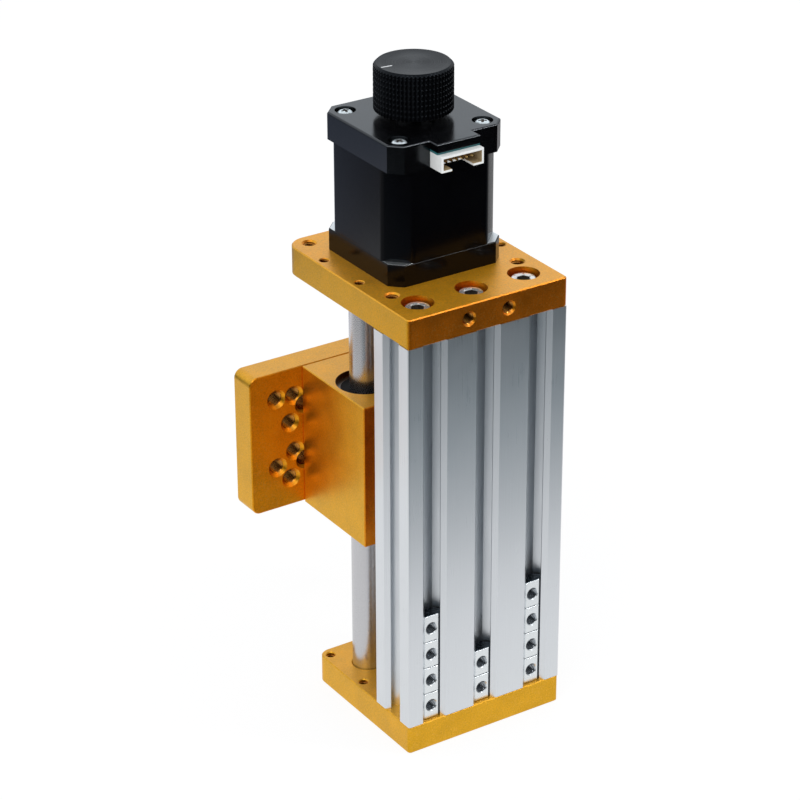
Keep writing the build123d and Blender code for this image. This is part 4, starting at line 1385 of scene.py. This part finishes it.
@dataclass(frozen=True)
class Studio:
    """White floor and surroundings, soft lamps and the camera, in metres and degrees."""

    azimuth: float = -33.038
    elevation: float = 26.592
    roll: float = -0.208
    place: Point = (-0.47003, -0.71436, 0.53204)
    aim: Point = (0.0, 0.0, 0.1)
    lens: float = 131.18
    lamps: tuple[tuple[str, Point, float, float], ...] = (
        ("key", (-1.1, -0.9, 1.6), 1.1, 9.0), ("fill", (0.75, -0.75, 1.25), 0.15, 2.2))
    floor_half: float = 4.0
    floor_drop: float = 0.00002
    reach: float = 0.5
    shadow: float = 0.16
    patch: Point = (0.43, 0.79, 0.45)

    def build(self) -> None:
        """Set up the stage."""
        bpy.context.scene.view_settings.view_transform = "Standard"
        self.floor()
        self.world()
        for name, place, size, power in self.lamps:
            self.lamp(name, place, size, power)
        self.camera()

    def camera(self) -> None:
        """Stand the camera where the module's edges show that it stood."""
        a, e, r = (math.radians(v) for v in (self.azimuth, self.elevation, self.roll))
        back = Vector((math.sin(a) * math.cos(e), -math.cos(a) * math.cos(e), math.sin(e)))
        level = (-back).cross(Vector((0.0, 0.0, 1.0))).normalized()
        rise = level.cross(-back)
        right = math.cos(r) * level + math.sin(r) * rise
        up = -math.sin(r) * level + math.cos(r) * rise
        data = bpy.data.cameras.new("camera")
        data.sensor_fit = "HORIZONTAL"
        data.sensor_width = 36.0
        data.lens = self.lens
        data.clip_end = 30.0
        camera = bpy.data.objects.new("camera", data)
        turned = Matrix((right, up, back)).transposed().to_4x4()
        camera.matrix_world = Matrix.Translation(self.place) @ turned
        bpy.context.scene.collection.objects.link(camera)
        bpy.context.scene.camera = camera

    def lamp(self, name: str, place: Point, size: float, power: float) -> None:
        """Add a square soft lamp that points at the module.

        Args:
            name: name of the lamp.
            place: its place.
            size: side of the square.
            power: power in watts.
        """
        data = bpy.data.lights.new(name, "AREA")
        data.size = size
        data.energy = power
        lamp = bpy.data.objects.new(name, data)
        lamp.location = place
        lamp.rotation_euler = (Vector(self.aim) - lamp.location).to_track_quat("-Z", "Y").to_euler()
        bpy.context.scene.collection.objects.link(lamp)

    def floor(self) -> None:
        """Floor that is white to the camera, keeps a soft shadow, and darkens far in front.

        Mirrored rays see the colour for their distance along Y, which fades to both sides.
        """
        graph = Graph(bpy.data.materials.new("studio_floor"))
        graph.set(Base_Color=(0.9, 0.9, 0.9, 1.0), Roughness=0.9, Specular_IOR_Level=0.1)
        own = graph.shader.outputs[0]
        path = graph.add("LightPath").outputs
        mirrored = graph.math("MAXIMUM", path["Is Glossy Ray"], path["Is Transmission Ray"])
        spot = graph.axes()
        share = graph.spread(spot["Y"], 0.0, 1.0, -self.reach, self.reach)
        colour = graph.ramp(share, [(y + self.reach, stop) for y, stop in FLOOR_STOPS])
        fade = graph.spread(graph.math("ABSOLUTE", spot["X"]), 1.0, 0.42, 0.22, 0.35)
        glow = graph.add("Emission", {"Color": colour, "Strength": fade}).outputs[0]
        white = graph.add("Emission", {"Color": WHITE, "Strength": 1.05}).outputs[0]
        look = graph.blend(path["Is Camera Ray"], graph.blend(mirrored, own, glow),
                           graph.blend(self.shadow, white, own))
        graph.feed(graph.tree.nodes["Material Output"].inputs["Surface"], look)
        x, y = np.meshgrid(*(np.linspace(-self.floor_half, self.floor_half, 9),) * 2)
        grid = np.stack([x, y, np.full_like(x, -self.floor_drop)], -1)
        Skin(grid / MM).build("studio_floor", graph.owner)

    def world(self) -> None:
        """White to the camera, a soft bright sky to metal, and a plain level for diffuse light.

        Mirrored rays see it dark in front, below the zenith, and brighter about the patch.
        """
        graph = Graph(bpy.data.worlds.new("studio"))
        bpy.context.scene.world = graph.owner
        path = graph.add("LightPath").outputs
        direction = graph.add("TexCoord").outputs["Generated"]
        parts = graph.axes(direction)
        eased = {"interpolation_type": "SMOOTHSTEP"}
        front = graph.spread(parts["Y"], 1.0, 0.0, -0.55, -0.10, **eased)
        low = graph.spread(parts["Z"], 1.0, 0.0, 0.45, 0.75, **eased)
        dark = graph.math("MULTIPLY", graph.math("MULTIPLY", front, low), path["Is Glossy Ray"])
        toward = graph.add("VectorMath", {0: direction, 1: Vector(self.patch).normalized()},
                           operation="DOT_PRODUCT").outputs["Value"]
        glare = graph.spread(toward, 1.0, 1.20, 0.95, 0.998, **eased)
        strength = graph.math("MULTIPLY_ADD", dark, -0.94, glare)
        sky = graph.add("Background", {"Color": graph.ramp(parts["Z"], SKY_STOPS), "Strength": strength})
        white = graph.add("Background", {"Color": WHITE})
        look = graph.blend(path["Is Camera Ray"], sky.outputs[0], white.outputs[0])
        graph.feed(graph.tree.nodes["World Output"].inputs["Surface"], look)


def main() -> None:
    """Build the stage and the module's sub-assemblies in order, logging each one."""
    logging.basicConfig(level=logging.INFO, format="%(name)s %(message)s")
    for assembly in (Studio(), Plates(), GuideSystem(), SlotNuts(), ScrewDrive(), Fasteners(),
                     StepMotor(), Inlet(), HandKnob()):
        LOG.info("building %s", type(assembly).__name__)
        assembly.build()


if __name__ == "__main__":
    main()
